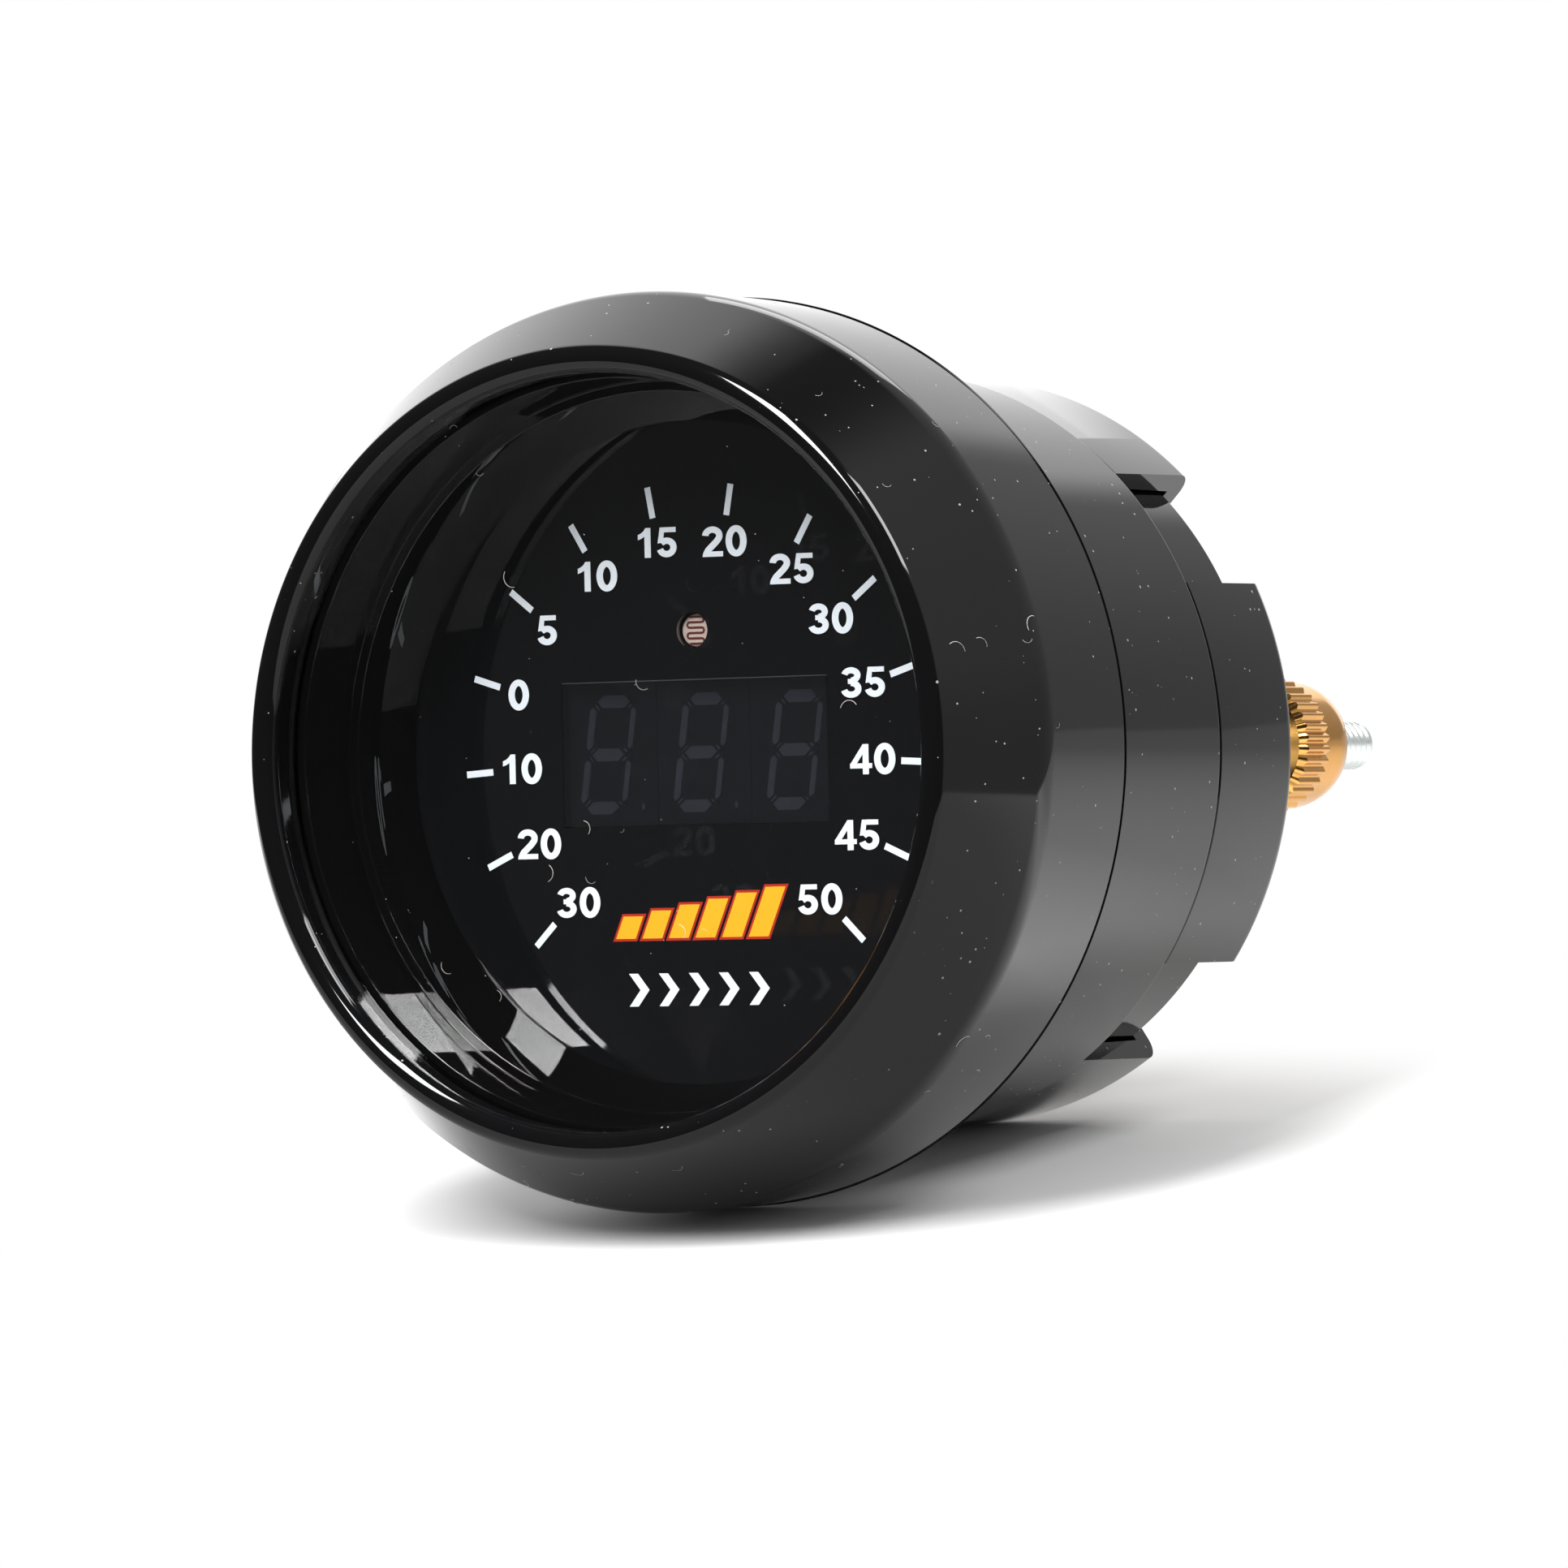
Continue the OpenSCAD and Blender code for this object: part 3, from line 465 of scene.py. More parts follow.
# %% Finishes of metal and the rest
FINISHES |= {
    # Bright zinc over rolled steel: pale, with a soft sheen.
    "zinc_steel": finish(
        "bright_zinc", "#e9efed", 0.38, metallic=1.0, grain=0.25, depth=0.003, spread=0.08
    ),
    # Turned and polished brass under lacquer: warm, with clear reflections.
    "nut_brass": finish(
        "polished_brass", "#dba258", 0.16, metallic=1.0, grain=0.8, depth=0.002, spread=0.06
    ),
    # Turned brass, as it leaves the lathe: yellow and softly blurred.
    "spacer_brass": finish("turned_brass", "#c79a45", 0.3, metallic=1.0, grain=0.3, depth=0.002),
    # Tinned brass: pale yellow and bright.
    "contact_brass": finish("tinned_brass", "#cdb06a", 0.25, metallic=1.0, grain=0.2, depth=0.001),
    # Zinc-plated screw steel: light grey.
    "screw_steel": finish("zinc_plated_screw", "#b9bcc0", 0.3, metallic=1.0, grain=0.3, depth=0.002),
    # Drawn steel and drawn aluminium: cans with a smooth bright face.
    "can_steel": finish("drawn_steel_can", "#c3c5c8", 0.22, metallic=1.0, grain=0.5, depth=0.001),
    "can_aluminium": finish("drawn_aluminium_can", "#cfd1d4", 0.25, metallic=1.0, grain=0.5, depth=0.001),
    # Pressed ferrite: dark grey, matt and gritty.
    "ferrite": finish("pressed_ferrite", "#38393c", 0.65, 1.6, grain=0.2, depth=0.008),
    # Sintered ceramic under a clear coat: a dusty pink-grey.
    "sensor_ceramic": finish(
        "sintered_ceramic", "#bba99e", 0.35, 1.6, grain=0.15, depth=0.002, spread=0.15
    ),
    # Solder mask over glass fibre: green gloss with the weave showing through.
    "board_green": finish("solder_mask", "#155a34", 0.3, 1.52, grain=0.5, depth=0.006, spread=0.14),
}
# Screen-printed ink: an even, half-glossy colour with a fine grain.
INKS = {
    "white": finish("white_ink", "#ecf3ff", 0.3, 1.5, grain=0.07, depth=0.001, spread=0.1),
    "yellow": finish("yellow_ink", "#f5b31c", 0.3, 1.5, grain=0.08, depth=0.001, spread=0.07),
    "red": finish("red_ink", "#b42a1a", 0.3, 1.5, grain=0.08, depth=0.001, spread=0.07),
}
print("finishes:", len(FINISHES), "inks:", len(INKS))

# %% [markdown]
# ## Clear pieces
# The lens is flat acrylic, polished on both faces. Each face mirrors about 4 percent and lets the rest
# through, and here the outer side of a sheet mirrors for both. A solid glass shader would keep the lamps
# from reaching the dial, so the sheet lets light pass straight. The pane over the digits is the same
# material with smoke-grey dye, thick enough to hide the modules until they light.

# %% Lens and pane
BOTH_FACES = 1.9


def clear_piece(name, dye="#000000", share=0.0, roughness=0.0, dust=None):
    """Clear or dyed acrylic. share is the part of the light that the dye keeps back at each face."""
    made, tree = new_material(name)
    through = add(tree, "ShaderNodeBsdfTransparent")
    body = add(tree, "ShaderNodeBsdfDiffuse", {"Color": linear(dye)})
    inside = add(tree, "ShaderNodeMixShader", {0: share, 1: through, 2: body})
    gloss = add(tree, "ShaderNodeBsdfGlossy", {"Roughness": roughness})
    edge = add(tree, "ShaderNodeFresnel", {"IOR": 1.49})
    backfacing = add(tree, "ShaderNodeNewGeometry").outputs["Backfacing"]
    outer = add(tree, "ShaderNodeMath", {0: 1.0, 1: backfacing}, operation="SUBTRACT")
    both = add(tree, "ShaderNodeMath", {0: outer, 1: BOTH_FACES}, operation="MULTIPLY")
    mirror = add(tree, "ShaderNodeMath", {0: edge, 1: both}, operation="MULTIPLY", use_clamp=True)
    face = add(tree, "ShaderNodeMixShader", {0: mirror, 1: inside, 2: gloss})
    if dust:
        grey = add(tree, "ShaderNodeBsdfDiffuse", {"Color": LENS_DUST_GREY})
        face = add(tree, "ShaderNodeMixShader", {0: specks(tree, *dust), 1: face, 2: grey})
    add(tree, "ShaderNodeOutputMaterial", {"Surface": face})
    return made


# Polished acrylic: clear, with a sharp pale mirror on its face. The smoked pane is softer and darker.
FINISHES["clear_lens"] = clear_piece("polished_acrylic", roughness=0.005, dust=LENS_DUST)
FINISHES["smoked_pane"] = clear_piece("smoked_acrylic", "#1c1d21", 0.5, 0.05)
print("clear pieces: lens and pane")

# %% [markdown]
# ## Every CAD node gets its finish
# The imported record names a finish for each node. Most of the inner pieces are boards and their parts, and
# they stay as the CAD part has them: exact, with the finish of the real material.

# %% Finishes on the CAD nodes
slot_of = {row["node"]: row["material_slot"] for row in frame["record"]["subparts"]}
for node, thing in nodes.items():
    thing.data.materials.clear()
    thing.data.materials.append(FINISHES[slot_of[node]])
print("CAD nodes with a finish:", len(slot_of))

# %% [markdown]
# ## Outlines for turned pieces
# A turned piece is given by half its section: points of radius and height. A machinist draws it from
# straight lines and arcs, and breaks each corner. So do these two helpers. A point just beside each rounding
# keeps the flat stretches flat in the gloss.

# %% Arcs and soft corners
BESIDE = 0.03


def arc(cx, cy, radius, start, end, steps=20):
    """Points along an arc, in degrees, as [radius, y] pairs."""
    turns = [math.radians(start + (end - start) * i / steps) for i in range(steps + 1)]
    return [(cx + radius * math.cos(t), cy + radius * math.sin(t)) for t in turns]


def softened(points, size=0.1, steps=3):
    """The same closed outline with each corner rounded a little, as every moulded edge is."""
    made = []
    count = len(points)
    for i, point in enumerate(points):
        before, here, after = Vector(points[i - 1]), Vector(point), Vector(points[(i + 1) % count])
        a, b = before - here, after - here
        if a.length < 1e-6 or b.length < 1e-6 or here.x < 1e-6:
            made.append(tuple(here))
            continue
        bend = math.degrees(a.angle(b))
        cut = min(size, a.length * 0.4, b.length * 0.4)
        if bend > 150 or cut < 0.01:
            made.append(tuple(here))
            continue
        start, end = here + a.normalized() * cut, here + b.normalized() * cut
        made.append(tuple(start + a.normalized() * min(BESIDE, a.length * 0.05)))
        for k in range(steps + 1):
            t = k / steps
            made.append(tuple(start * (1 - t) ** 2 + here * (2 * t * (1 - t)) + end * t**2))
        made.append(tuple(end + b.normalized() * min(BESIDE, b.length * 0.05)))
    return made


print("a softened square has", len(softened([(1, 0), (2, 0), (2, 1), (1, 1)])), "points")

# %% [markdown]
# ## A lathe
# A lathe turns a profile about an axis, and so does this function: it sweeps the points round Y. With 360
# steps the gloss shows no facets. A ripple may push each point in or out by its angle, which is all that a
# knurl or a thread is. Edges sharper than 35 degrees stay crisp and the rest shade smoothly.

# %% Lathe
SHARP = math.radians(35)


def shaded(made):
    """Shades a piece smoothly, apart from its sharp edges."""
    for face in made.data.polygons:
        face.use_smooth = True
    made.data.set_sharp_from_angle(angle=SHARP)
    return made


def object_from(bm, name):
    """Closes a bmesh into a smooth-shaded object at the origin, with its faces pointing outwards."""
    bmesh.ops.remove_doubles(bm, verts=bm.verts, dist=1e-7)
    bmesh.ops.recalc_face_normals(bm, faces=bm.faces)
    return shaded(object_of(bm, name))


def lathe(name, profile, segments=360, x=0.0, ripple=None):
    """Sweeps a closed profile of [radius, y] points, in millimetres, round an axis parallel to Y at x."""
    bm = bmesh.new()
    columns = []
    for i in range(segments):
        angle = 2 * math.pi * i / segments
        column = []
        for radius, y in profile:
            r = ripple(angle, radius, y) if ripple else radius
            column.append(bm.verts.new(((x + r * math.cos(angle)) * MM, y * MM, r * math.sin(angle) * MM)))
        columns.append(column)
    count = len(profile)
    for i in range(segments):
        near, far = columns[i], columns[(i + 1) % segments]
        for j in range(count):
            k = (j + 1) % count
            if profile[j][0] < 1e-6 and profile[k][0] < 1e-6:
                continue
            bm.faces.new((near[j], near[k], far[k], far[j]))
    bmesh.ops.remove_doubles(bm, verts=bm.verts, dist=1e-7)
    bmesh.ops.dissolve_degenerate(bm, dist=1e-8, edges=bm.edges)
    return object_from(bm, name)


print("edges sharper than", round(math.degrees(SHARP)), "degrees stay crisp")

# %% [markdown]
# ## Dressing a piece
# A finished piece needs three things: its finish, the body that it moves with, and the CAD nodes that it
# stands for, which then don't show. One helper does all three, so that no piece is left without.

# %% Dress
def dress(made, body, slot, *stands_for):
    """Gives a finished piece its finish, its body and the CAD nodes that it stands for."""
    if not made.data.materials:
        made.data.materials.append(FINISHES[slot])
    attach(made, body)
    if stands_for:
        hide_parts(*stands_for)
    return made


print("finishes to dress with:", len(FINISHES))

# %% [markdown]
# ## The bezel
# The bezel's outline is one smooth line: a small round nose, a straight tapered face and a larger round that
# meets the straight band. The taper touches both rounds, so its angle follows from where they stand. Inside,
# a step holds the lens and a plain bore stands where the thread is.

# %% Bezel
NOSE_Y = reach("bezel", Y, LOW)
LENS_FRONT = reach("lens", Y, LOW)
COLLAR_FRONT = reach("housing", Y, LOW)
WINDOW_R, THREAD_R, POCKET_R = 24.95, 27.75, 26.8
NOSE_ROUND, RIDGE_ROUND, BAND_LEN = 1.0, 3.0, 10.2
COLLAR_GAP, OFF_ARC = 0.15, 0.05
nose = Vector((WINDOW_R + NOSE_ROUND, NOSE_Y + NOSE_ROUND))
ridge = Vector((BEZEL_R - RIDGE_ROUND, -BAND_LEN))
run = ridge - nose
swing = math.acos((NOSE_ROUND - RIDGE_ROUND) / run.length)
taper = math.degrees(math.atan2(run.y, run.x)) - math.degrees(swing)
outward = Vector((math.cos(math.radians(taper)), math.sin(math.radians(taper))))
along = Vector((-outward.y, outward.x)) * OFF_ARC
bezel_profile = (
    [(WINDOW_R, LENS_FRONT)]
    + arc(nose.x, nose.y, NOSE_ROUND, 180, 360 + taper, 40)
    + [tuple(nose + outward * NOSE_ROUND + along), tuple(ridge + outward * RIDGE_ROUND - along)]
    + arc(ridge.x, ridge.y, RIDGE_ROUND, taper, 0, 24)
    + [(BEZEL_R, -BAND_LEN + OFF_ARC)]
    + softened([(BEZEL_R, BEZEL_REAR - EDGE), (BEZEL_R - EDGE, BEZEL_REAR), (THREAD_R, BEZEL_REAR)])
    + [(THREAD_R, COLLAR_FRONT - COLLAR_GAP), (POCKET_R, COLLAR_FRONT - COLLAR_GAP), (POCKET_R, LENS_FRONT)]
)
bezel = dress(lathe("bezel_ring_skin", bezel_profile, 480), "bezel_ring", "bezel_black", "bezel")
print("taper leans", round(-taper, 1), "degrees;", len(bezel.data.polygons), "faces")

# %% [markdown]
# ## The lens
# The lens is a flat disc with a polished edge. It is turned too, so that its rim is round in the light.

# %% Lens
LENS_REAR, LENS_R = reach("lens", Y, HIGH), reach("lens", X, HIGH)
lens_profile = softened([(0, LENS_FRONT), (LENS_R, LENS_FRONT), (LENS_R, LENS_REAR), (0, LENS_REAR)], 0.12)
dress(lathe("lens_disc", lens_profile, 240), "bezel_ring", "clear_lens", "lens")
print("lens", round(2 * LENS_R, 2), "by", round(LENS_REAR - LENS_FRONT, 2), "mm")

# %% [markdown]
# ## The spacer ring
# The ring is the dark wall between the lens and the dial: a straight bore, a small ledge and a funnel that
# narrows to the dial. Its gloss carries the front softbox's glare, low on the left.

# %% Spacer ring
DIAL_FRONT, DIAL_R = reach("faceplate", Y, LOW), reach("faceplate", X, HIGH)
RING_FRONT = reach("spacer_ring", Y, LOW)
RING_R, RING_WALL, RING_LEDGE, FUNNEL_DEPTH, DIAL_OPEN_R = 25.55, 1.1, 0.7, 4.4, 22.2
ring_in = DIAL_R - RING_WALL
ledge_y = DIAL_FRONT - FUNNEL_DEPTH
ring_profile = softened(
    [
        (RING_R, RING_FRONT), (RING_R, COLLAR_FRONT), (DIAL_R, COLLAR_FRONT), (DIAL_R, DIAL_FRONT),
        (DIAL_OPEN_R, DIAL_FRONT), (DIAL_OPEN_R, DIAL_FRONT - EDGE), (ring_in - RING_LEDGE, ledge_y),
        (ring_in, ledge_y), (ring_in, RING_FRONT),
    ],
    0.08,
)
dress(lathe("spacer_ring_skin", ring_profile, 360), "case", "ring_black", "spacer_ring")
print("ring wall ends at", round(ring_in, 2), "mm and the dial opens at", DIAL_OPEN_R, "mm")

# %% [markdown]
# ## Solid outlines
# Windows, notches, printed bars and plates are all one thing: a flat outline made solid along Y. One helper
# does it for an outline, and one for a ribbon between two edges, which is what a pen stroke is.

# %% Outlines made solid
def extrude(bm, points, y0, y1):
    """Adds a closed solid to a mesh: an outline of [x, z] points, in millimetres, from y0 to y1."""
    front = [bm.verts.new((x * MM, y0 * MM, z * MM)) for x, z in points]
    rear = [bm.verts.new((x * MM, y1 * MM, z * MM)) for x, z in points]
    bm.faces.new(front)
    bm.faces.new(rear[::-1])
    for i in range(len(points)):
        j = (i + 1) % len(points)
        bm.faces.new((front[i], rear[i], rear[j], front[j]))


def ribbon(bm, left, right, y0, y1, closed=False):
    """Adds a closed solid between a left and a right edge, in millimetres, from y0 to y1."""
    rows = [(edge, y) for y in (y0, y1) for edge in (left, right)]
    a, b, c, d = [[bm.verts.new((x * MM, y * MM, z * MM)) for x, z in edge] for edge, y in rows]
    count = len(left)
    for i in range(count if closed else count - 1):
        j = (i + 1) % count
        bm.faces.new((a[i], b[i], b[j], a[j]))
        bm.faces.new((c[j], d[j], d[i], c[i]))
        bm.faces.new((a[j], c[j], c[i], a[i]))
        bm.faces.new((b[i], d[i], d[j], b[j]))
    if not closed:
        bm.faces.new((a[0], c[0], d[0], b[0]))
        bm.faces.new((b[-1], d[-1], c[-1], a[-1]))


def prism(points, y0, y1, name="cutter"):
    """One outline made solid, as an object."""
    bm = bmesh.new()
    extrude(bm, points, y0, y1)
    return object_from(bm, name)


def disc(radius, x=0.0, z=0.0, steps=96):
    """The outline of a disc."""
    turns = [2 * math.pi * i / steps for i in range(steps)]
    return [(x + radius * math.cos(t), z + radius * math.sin(t)) for t in turns]


def rectangle(w, h, x=0.0, z=0.0):
    """The outline of a rectangle."""
    return [(x - w / 2, z - h / 2), (x + w / 2, z - h / 2), (x + w / 2, z + h / 2), (x - w / 2, z + h / 2)]


print("a disc is cut with", len(disc(1)), "sides")

# %% [markdown]
# ## Cutting and breaking edges
# The housing and the bracket are turned first and then cut. A boolean makes the cuts. On the bracket, whose
# cuts show most, a narrow bevel takes the razor edge off them. Both are modifiers, and their result is kept
# as a plain mesh.

# %% Cuts
BREAK_FROM = math.radians(60)


def plain(made, name):
    """The object with its modifiers worked into a plain mesh."""
    bpy.context.view_layer.update()
    mesh = bpy.data.meshes.new_from_object(made.evaluated_get(bpy.context.evaluated_depsgraph_get()))
    made.modifiers.clear()
    made.data = mesh
    made.name = mesh.name = name
    return shaded(made)


def cut(made, cutters, name, bevel=0.0):
    """Takes the cutters out of a piece. A bevel, in millimetres, breaks the sharp edges that are left."""
    for cutter in cutters:
        step = made.modifiers.new("cut", "BOOLEAN")
        step.operation, step.solver, step.object = "DIFFERENCE", "EXACT", cutter
    if bevel:
        edge = made.modifiers.new("edge", "BEVEL")
        edge.width = bevel * MM
        edge.segments = 2
        edge.limit_method = "ANGLE"
        edge.angle_limit = BREAK_FROM
    plain(made, name)
    for cutter in cutters:
        bpy.data.objects.remove(cutter)
    return made


print("a bevel breaks the edges that bend by more than", round(math.degrees(BREAK_FROM)), "degrees")

# %% [markdown]
# ## The housing
# The housing is a stepped cup: a wide collar that the bezel screws onto, the barrel and a narrower drum. Its
# rear wall has a window for each plug socket and a round hole for a small screwdriver. The windows follow
# the sockets, which the script measures, with a small gap all round.

# %% Housing
DIAL_REAR, DRUM_REAR = reach("faceplate", Y, HIGH), reach("housing", Y, HIGH)
COLLAR_R, COLLAR_IN = 27.6, 25.9
BARREL_R, BARREL_IN, BARREL_LEN = 26.2, 24.2, 20.8
DRUM_R, DRUM_IN = 24.3, 22.3
FLOOR_T = 2.0
SOCKET_GAP, SELECTOR_HOLE_R = 0.4, 2.0
# A cutter stands this far past what it cuts.
PAST = 1
rear_wall, shoulder = DRUM_REAR - FLOOR_T, BARREL_LEN - FLOOR_T
housing_profile = softened(
    [
        (COLLAR_IN, COLLAR_FRONT), (COLLAR_R - EDGE, COLLAR_FRONT), (COLLAR_R, COLLAR_FRONT + EDGE),
        (COLLAR_R, 0), (BARREL_R, 0), (BARREL_R, BARREL_LEN - EDGE), (BARREL_R - EDGE, BARREL_LEN),
        (DRUM_R, BARREL_LEN), (DRUM_R, DRUM_REAR - EDGE), (DRUM_R - EDGE, DRUM_REAR), (0, DRUM_REAR),
        (0, rear_wall), (DRUM_IN, rear_wall), (DRUM_IN, shoulder), (BARREL_IN, shoulder),
        (BARREL_IN, DIAL_REAR), (COLLAR_IN, DIAL_REAR),
    ],
    0.08,
)
openings = []
for socket in ("power_socket", "sensor_socket"):
    low, high = (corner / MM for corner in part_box(socket))
    w, h = high.x - low.x + SOCKET_GAP, high.z - low.z + SOCKET_GAP
    openings.append(rectangle(w, h, z=(low.z + high.z) / 2))
openings.append(disc(SELECTOR_HOLE_R))
windows = [prism(opening, rear_wall - PAST, DRUM_REAR + PAST) for opening in openings]
housing = cut(lathe("housing", housing_profile, 480), windows, "housing_shell")
dress(housing, "case", "housing_black", "housing")
print("housing:", len(housing.data.polygons), "faces")

# %% [markdown]
# ## The bracket
# The bracket is a cup that slides over the drum. It loses four wedges, which leaves the four tabs, and gets
# a hole for each stud. Its rear rim has a larger round than its other edges, and it rests on that round.

# %% Bracket
BRACKET_FRONT = reach("mounting_bracket", Y, LOW)
STUD_X = (reach("thumb_nut_right", X, HIGH) + reach("thumb_nut_right", X, LOW)) / 2
PLUG_OPENING_R, PLATE_T, DRUM_GAP, STUD_R, STUD_GAP = 14.195, 1.8, 0.2, 1.75, 0.25
BRACKET_TURN, SIDE_TAB, NOTCH, NOTCH_FLOOR_R, PAST_RIM_R = -5.15, 60.1, 20.75, 20.8, 28
plate_front = BRACKET_REAR - PLATE_T
bracket_in = DRUM_R + DRUM_GAP
front_rim = [
    (bracket_in, BRACKET_FRONT), (BRACKET_R - EDGE, BRACKET_FRONT), (BRACKET_R, BRACKET_FRONT + EDGE)
]
cup_profile = (
    softened(front_rim, 0.08)
    + arc(BRACKET_R - BRACKET_ROUND, BRACKET_REAR - BRACKET_ROUND, BRACKET_ROUND, 0, 90, 16)
    + [(PLUG_OPENING_R, BRACKET_REAR), (PLUG_OPENING_R, plate_front), (bracket_in, plate_front)]
)
cutters = []
lean = 1 / math.cos(math.radians(NOTCH / 2))
for half in (0, 180):
    for side in (1, -1):
        middle = half + BRACKET_TURN + side * (SIDE_TAB + NOTCH) / 2
        ends = [math.radians(middle - NOTCH / 2), math.radians(middle + NOTCH / 2)]
        inner = [(NOTCH_FLOOR_R * lean * math.cos(t), NOTCH_FLOOR_R * lean * math.sin(t)) for t in ends]
        outer = [(PAST_RIM_R * lean * math.cos(t), PAST_RIM_R * lean * math.sin(t)) for t in ends[::-1]]
        cutters.append(prism(inner + outer, BRACKET_FRONT - PAST, BRACKET_REAR + PAST))
for side in (1, -1):
    hole = disc(STUD_R + STUD_GAP, x=side * STUD_X, steps=64)
    cutters.append(prism(hole, plate_front - PAST, BRACKET_REAR + PAST))
bracket = cut(lathe("bracket", cup_profile, 480), cutters, "bracket_cup", bevel=0.1)
dress(bracket, "bracket", "bracket_black", "mounting_bracket")
print("bracket:", len(bracket.data.polygons), "faces")

# %% [markdown]
# ## The thumb nuts
# A knurl is a ripple round the nut: 36 straight ridges that a wheel has pressed in. The rest of the nut is
# turned: a flat front, a plain neck and a dome with a bore through it. So the nut is a profile on the lathe,
# with a ripple where it is knurled.

# %% Nuts
NUT_FRONT = reach("thumb_nut_right", Y, LOW)
NUT_R = (reach("thumb_nut_right", X, HIGH) - reach("thumb_nut_right", X, LOW)) / 2
KNURL_LEN, KNURL_COUNT, KNURL_H, NECK, BORE_R = 3.7, 36, 0.28, 2.1, 1.8
RIDGE_STEPS = 14
NUT_CHAMFER, RIDGE_LEN = 0.5, KNURL_LEN - 0.6
DOME_R = NUT_R - 0.35


def knurl(angle, radius, y):
    """Presses straight ridges into the part of the nut that is knurled."""
    if radius < NUT_R - 0.1 or y > NUT_FRONT + KNURL_LEN + 0.05:
        return radius
    wave = abs((angle * KNURL_COUNT / (2 * math.pi)) % 1.0 - 0.5) * 2
    return radius - KNURL_H * ease(0.1, 0.95, wave)


def nut(name, x, body, node):
    """A domed thumb nut at x."""
    knurl_end = NUT_FRONT + KNURL_LEN
    dome_y = knurl_end + NECK
    lip = math.degrees(math.acos((BORE_R - EDGE) / DOME_R))
    mouth = [(BORE_R, NUT_FRONT + EDGE), (BORE_R + EDGE, NUT_FRONT), (NUT_R - NUT_CHAMFER, NUT_FRONT)]
    profile = (
        softened(mouth, 0.06)
        + [(NUT_R, NUT_FRONT + NUT_CHAMFER + RIDGE_LEN * i / 6) for i in range(7)]
        + [(DOME_R - 0.02, knurl_end)]
        + arc(0, dome_y, DOME_R, 0, lip, 26)
        + [(BORE_R, dome_y + DOME_R * math.sin(math.radians(lip)) - EDGE)]
    )
    made = lathe(name, profile, KNURL_COUNT * RIDGE_STEPS, x=x, ripple=knurl)
    return dress(made, body, "nut_brass", node)


nut("knurled_nut_right", STUD_X, "nut_right", "thumb_nut_right")
nut("knurled_nut_left", -STUD_X, "nut_left", "thumb_nut_left")
print("nut radius", round(NUT_R, 2), "mm,", KNURL_COUNT, "ridges")

# %% [markdown]
# ## The studs
# A stud is a rolled thread with a round head that is moulded into the housing. A thread is a ripple too,
# wound along the stud, one pitch for each turn. It dies out at both ends, as a rolled thread does.

# %% Studs
STUD_TIP, INSERT_Y = reach("stud_right", Y, HIGH), reach("stud_right", Y, LOW)
INSERT_R = (reach("stud_right", X, HIGH) - reach("stud_right", X, LOW)) / 2
INSERT_T = 2.0
PITCH, THREAD_DEPTH, ROWS_PER_TURN = 0.794, 0.22, 9


def thread(angle, radius, y):
    """Winds a V thread along the stud, which dies out at both ends."""
    if abs(radius - STUD_R) > 0.01 or y < DRUM_REAR + 0.4:
        return radius
    turn = (y / PITCH + angle / (2 * math.pi)) % 1.0
    groove = 1 - abs(turn - 0.5) * 2
    fade = ease(DRUM_REAR + 0.4, DRUM_REAR + 1.4, y) * (1 - ease(STUD_TIP - 0.7, STUD_TIP - 0.3, y))
    return radius - THREAD_DEPTH * ease(0.1, 0.95, groove) * fade


def stud(name, x, node):
    """A rolled stud at x."""
    length = STUD_TIP - EDGE - DRUM_REAR
    rows = int(length / (PITCH / ROWS_PER_TURN))
    profile = (
        [(0, INSERT_Y), (INSERT_R, INSERT_Y), (INSERT_R, INSERT_Y + INSERT_T), (STUD_R, INSERT_Y + INSERT_T)]
        + [(STUD_R, DRUM_REAR + length * i / rows) for i in range(rows + 1)]
        + [(STUD_R - EDGE, STUD_TIP), (0, STUD_TIP)]
    )
    return dress(lathe(name, profile, 64, x=x, ripple=thread), "case", "zinc_steel", node)


stud("threaded_stud_right", STUD_X, "stud_right")
stud("threaded_stud_left", -STUD_X, "stud_left")
print("thread pitch", PITCH, "mm over", round(STUD_TIP - DRUM_REAR, 1), "mm")

# %% [markdown]
# ## Trees for what repeats
# Marks and lint repeat one shape many times by a rule, which is what Geometry Nodes are for. Each tree has
# named inputs for its sizes. It ends in real geometry with a material, and the result is kept as a plain
# mesh.

# %% Helpers for trees
def new_tree(name, sizes):
    """A geometry tree with named number inputs. Returns the tree and its input node."""
    tree = bpy.data.node_groups.new(name, "GeometryNodeTree")
    tree.interface.new_socket("Geometry", in_out="INPUT", socket_type="NodeSocketGeometry")
    for label in sizes:
        tree.interface.new_socket(label, in_out="INPUT", socket_type="NodeSocketFloat")
    tree.interface.new_socket("Geometry", in_out="OUTPUT", socket_type="NodeSocketGeometry")
    return tree, add(tree, "NodeGroupInput")


def end_tree(tree, instances, material):
    """Ends a tree: real geometry instead of instances, and a material."""
    real = add(tree, "GeometryNodeRealizeInstances", {0: instances})
    inked = add(tree, "GeometryNodeSetMaterial", {0: real, "Material": material})
    add(tree, "NodeGroupOutput", {0: inked})


def grown(name, tree, sizes, body, mesh=None):
    """Runs a tree on a mesh, with its inputs set by socket identifier, and keeps a plain piece."""
    made = bpy.data.objects.new(name, mesh or bpy.data.meshes.new(name))
    bpy.context.scene.collection.objects.link(made)
    step = made.modifiers.new("grow", "NODES")
    step.node_group = tree
    for item in tree.interface.items_tree:
        if item.in_out == "INPUT" and item.name in sizes:
            step[item.identifier] = float(sizes[item.name])
    plain(made, name)
    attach(made, body)
    print(name, "faces:", len(made.data.polygons))
    return made


print("a tree is started, ended and run by three helpers")

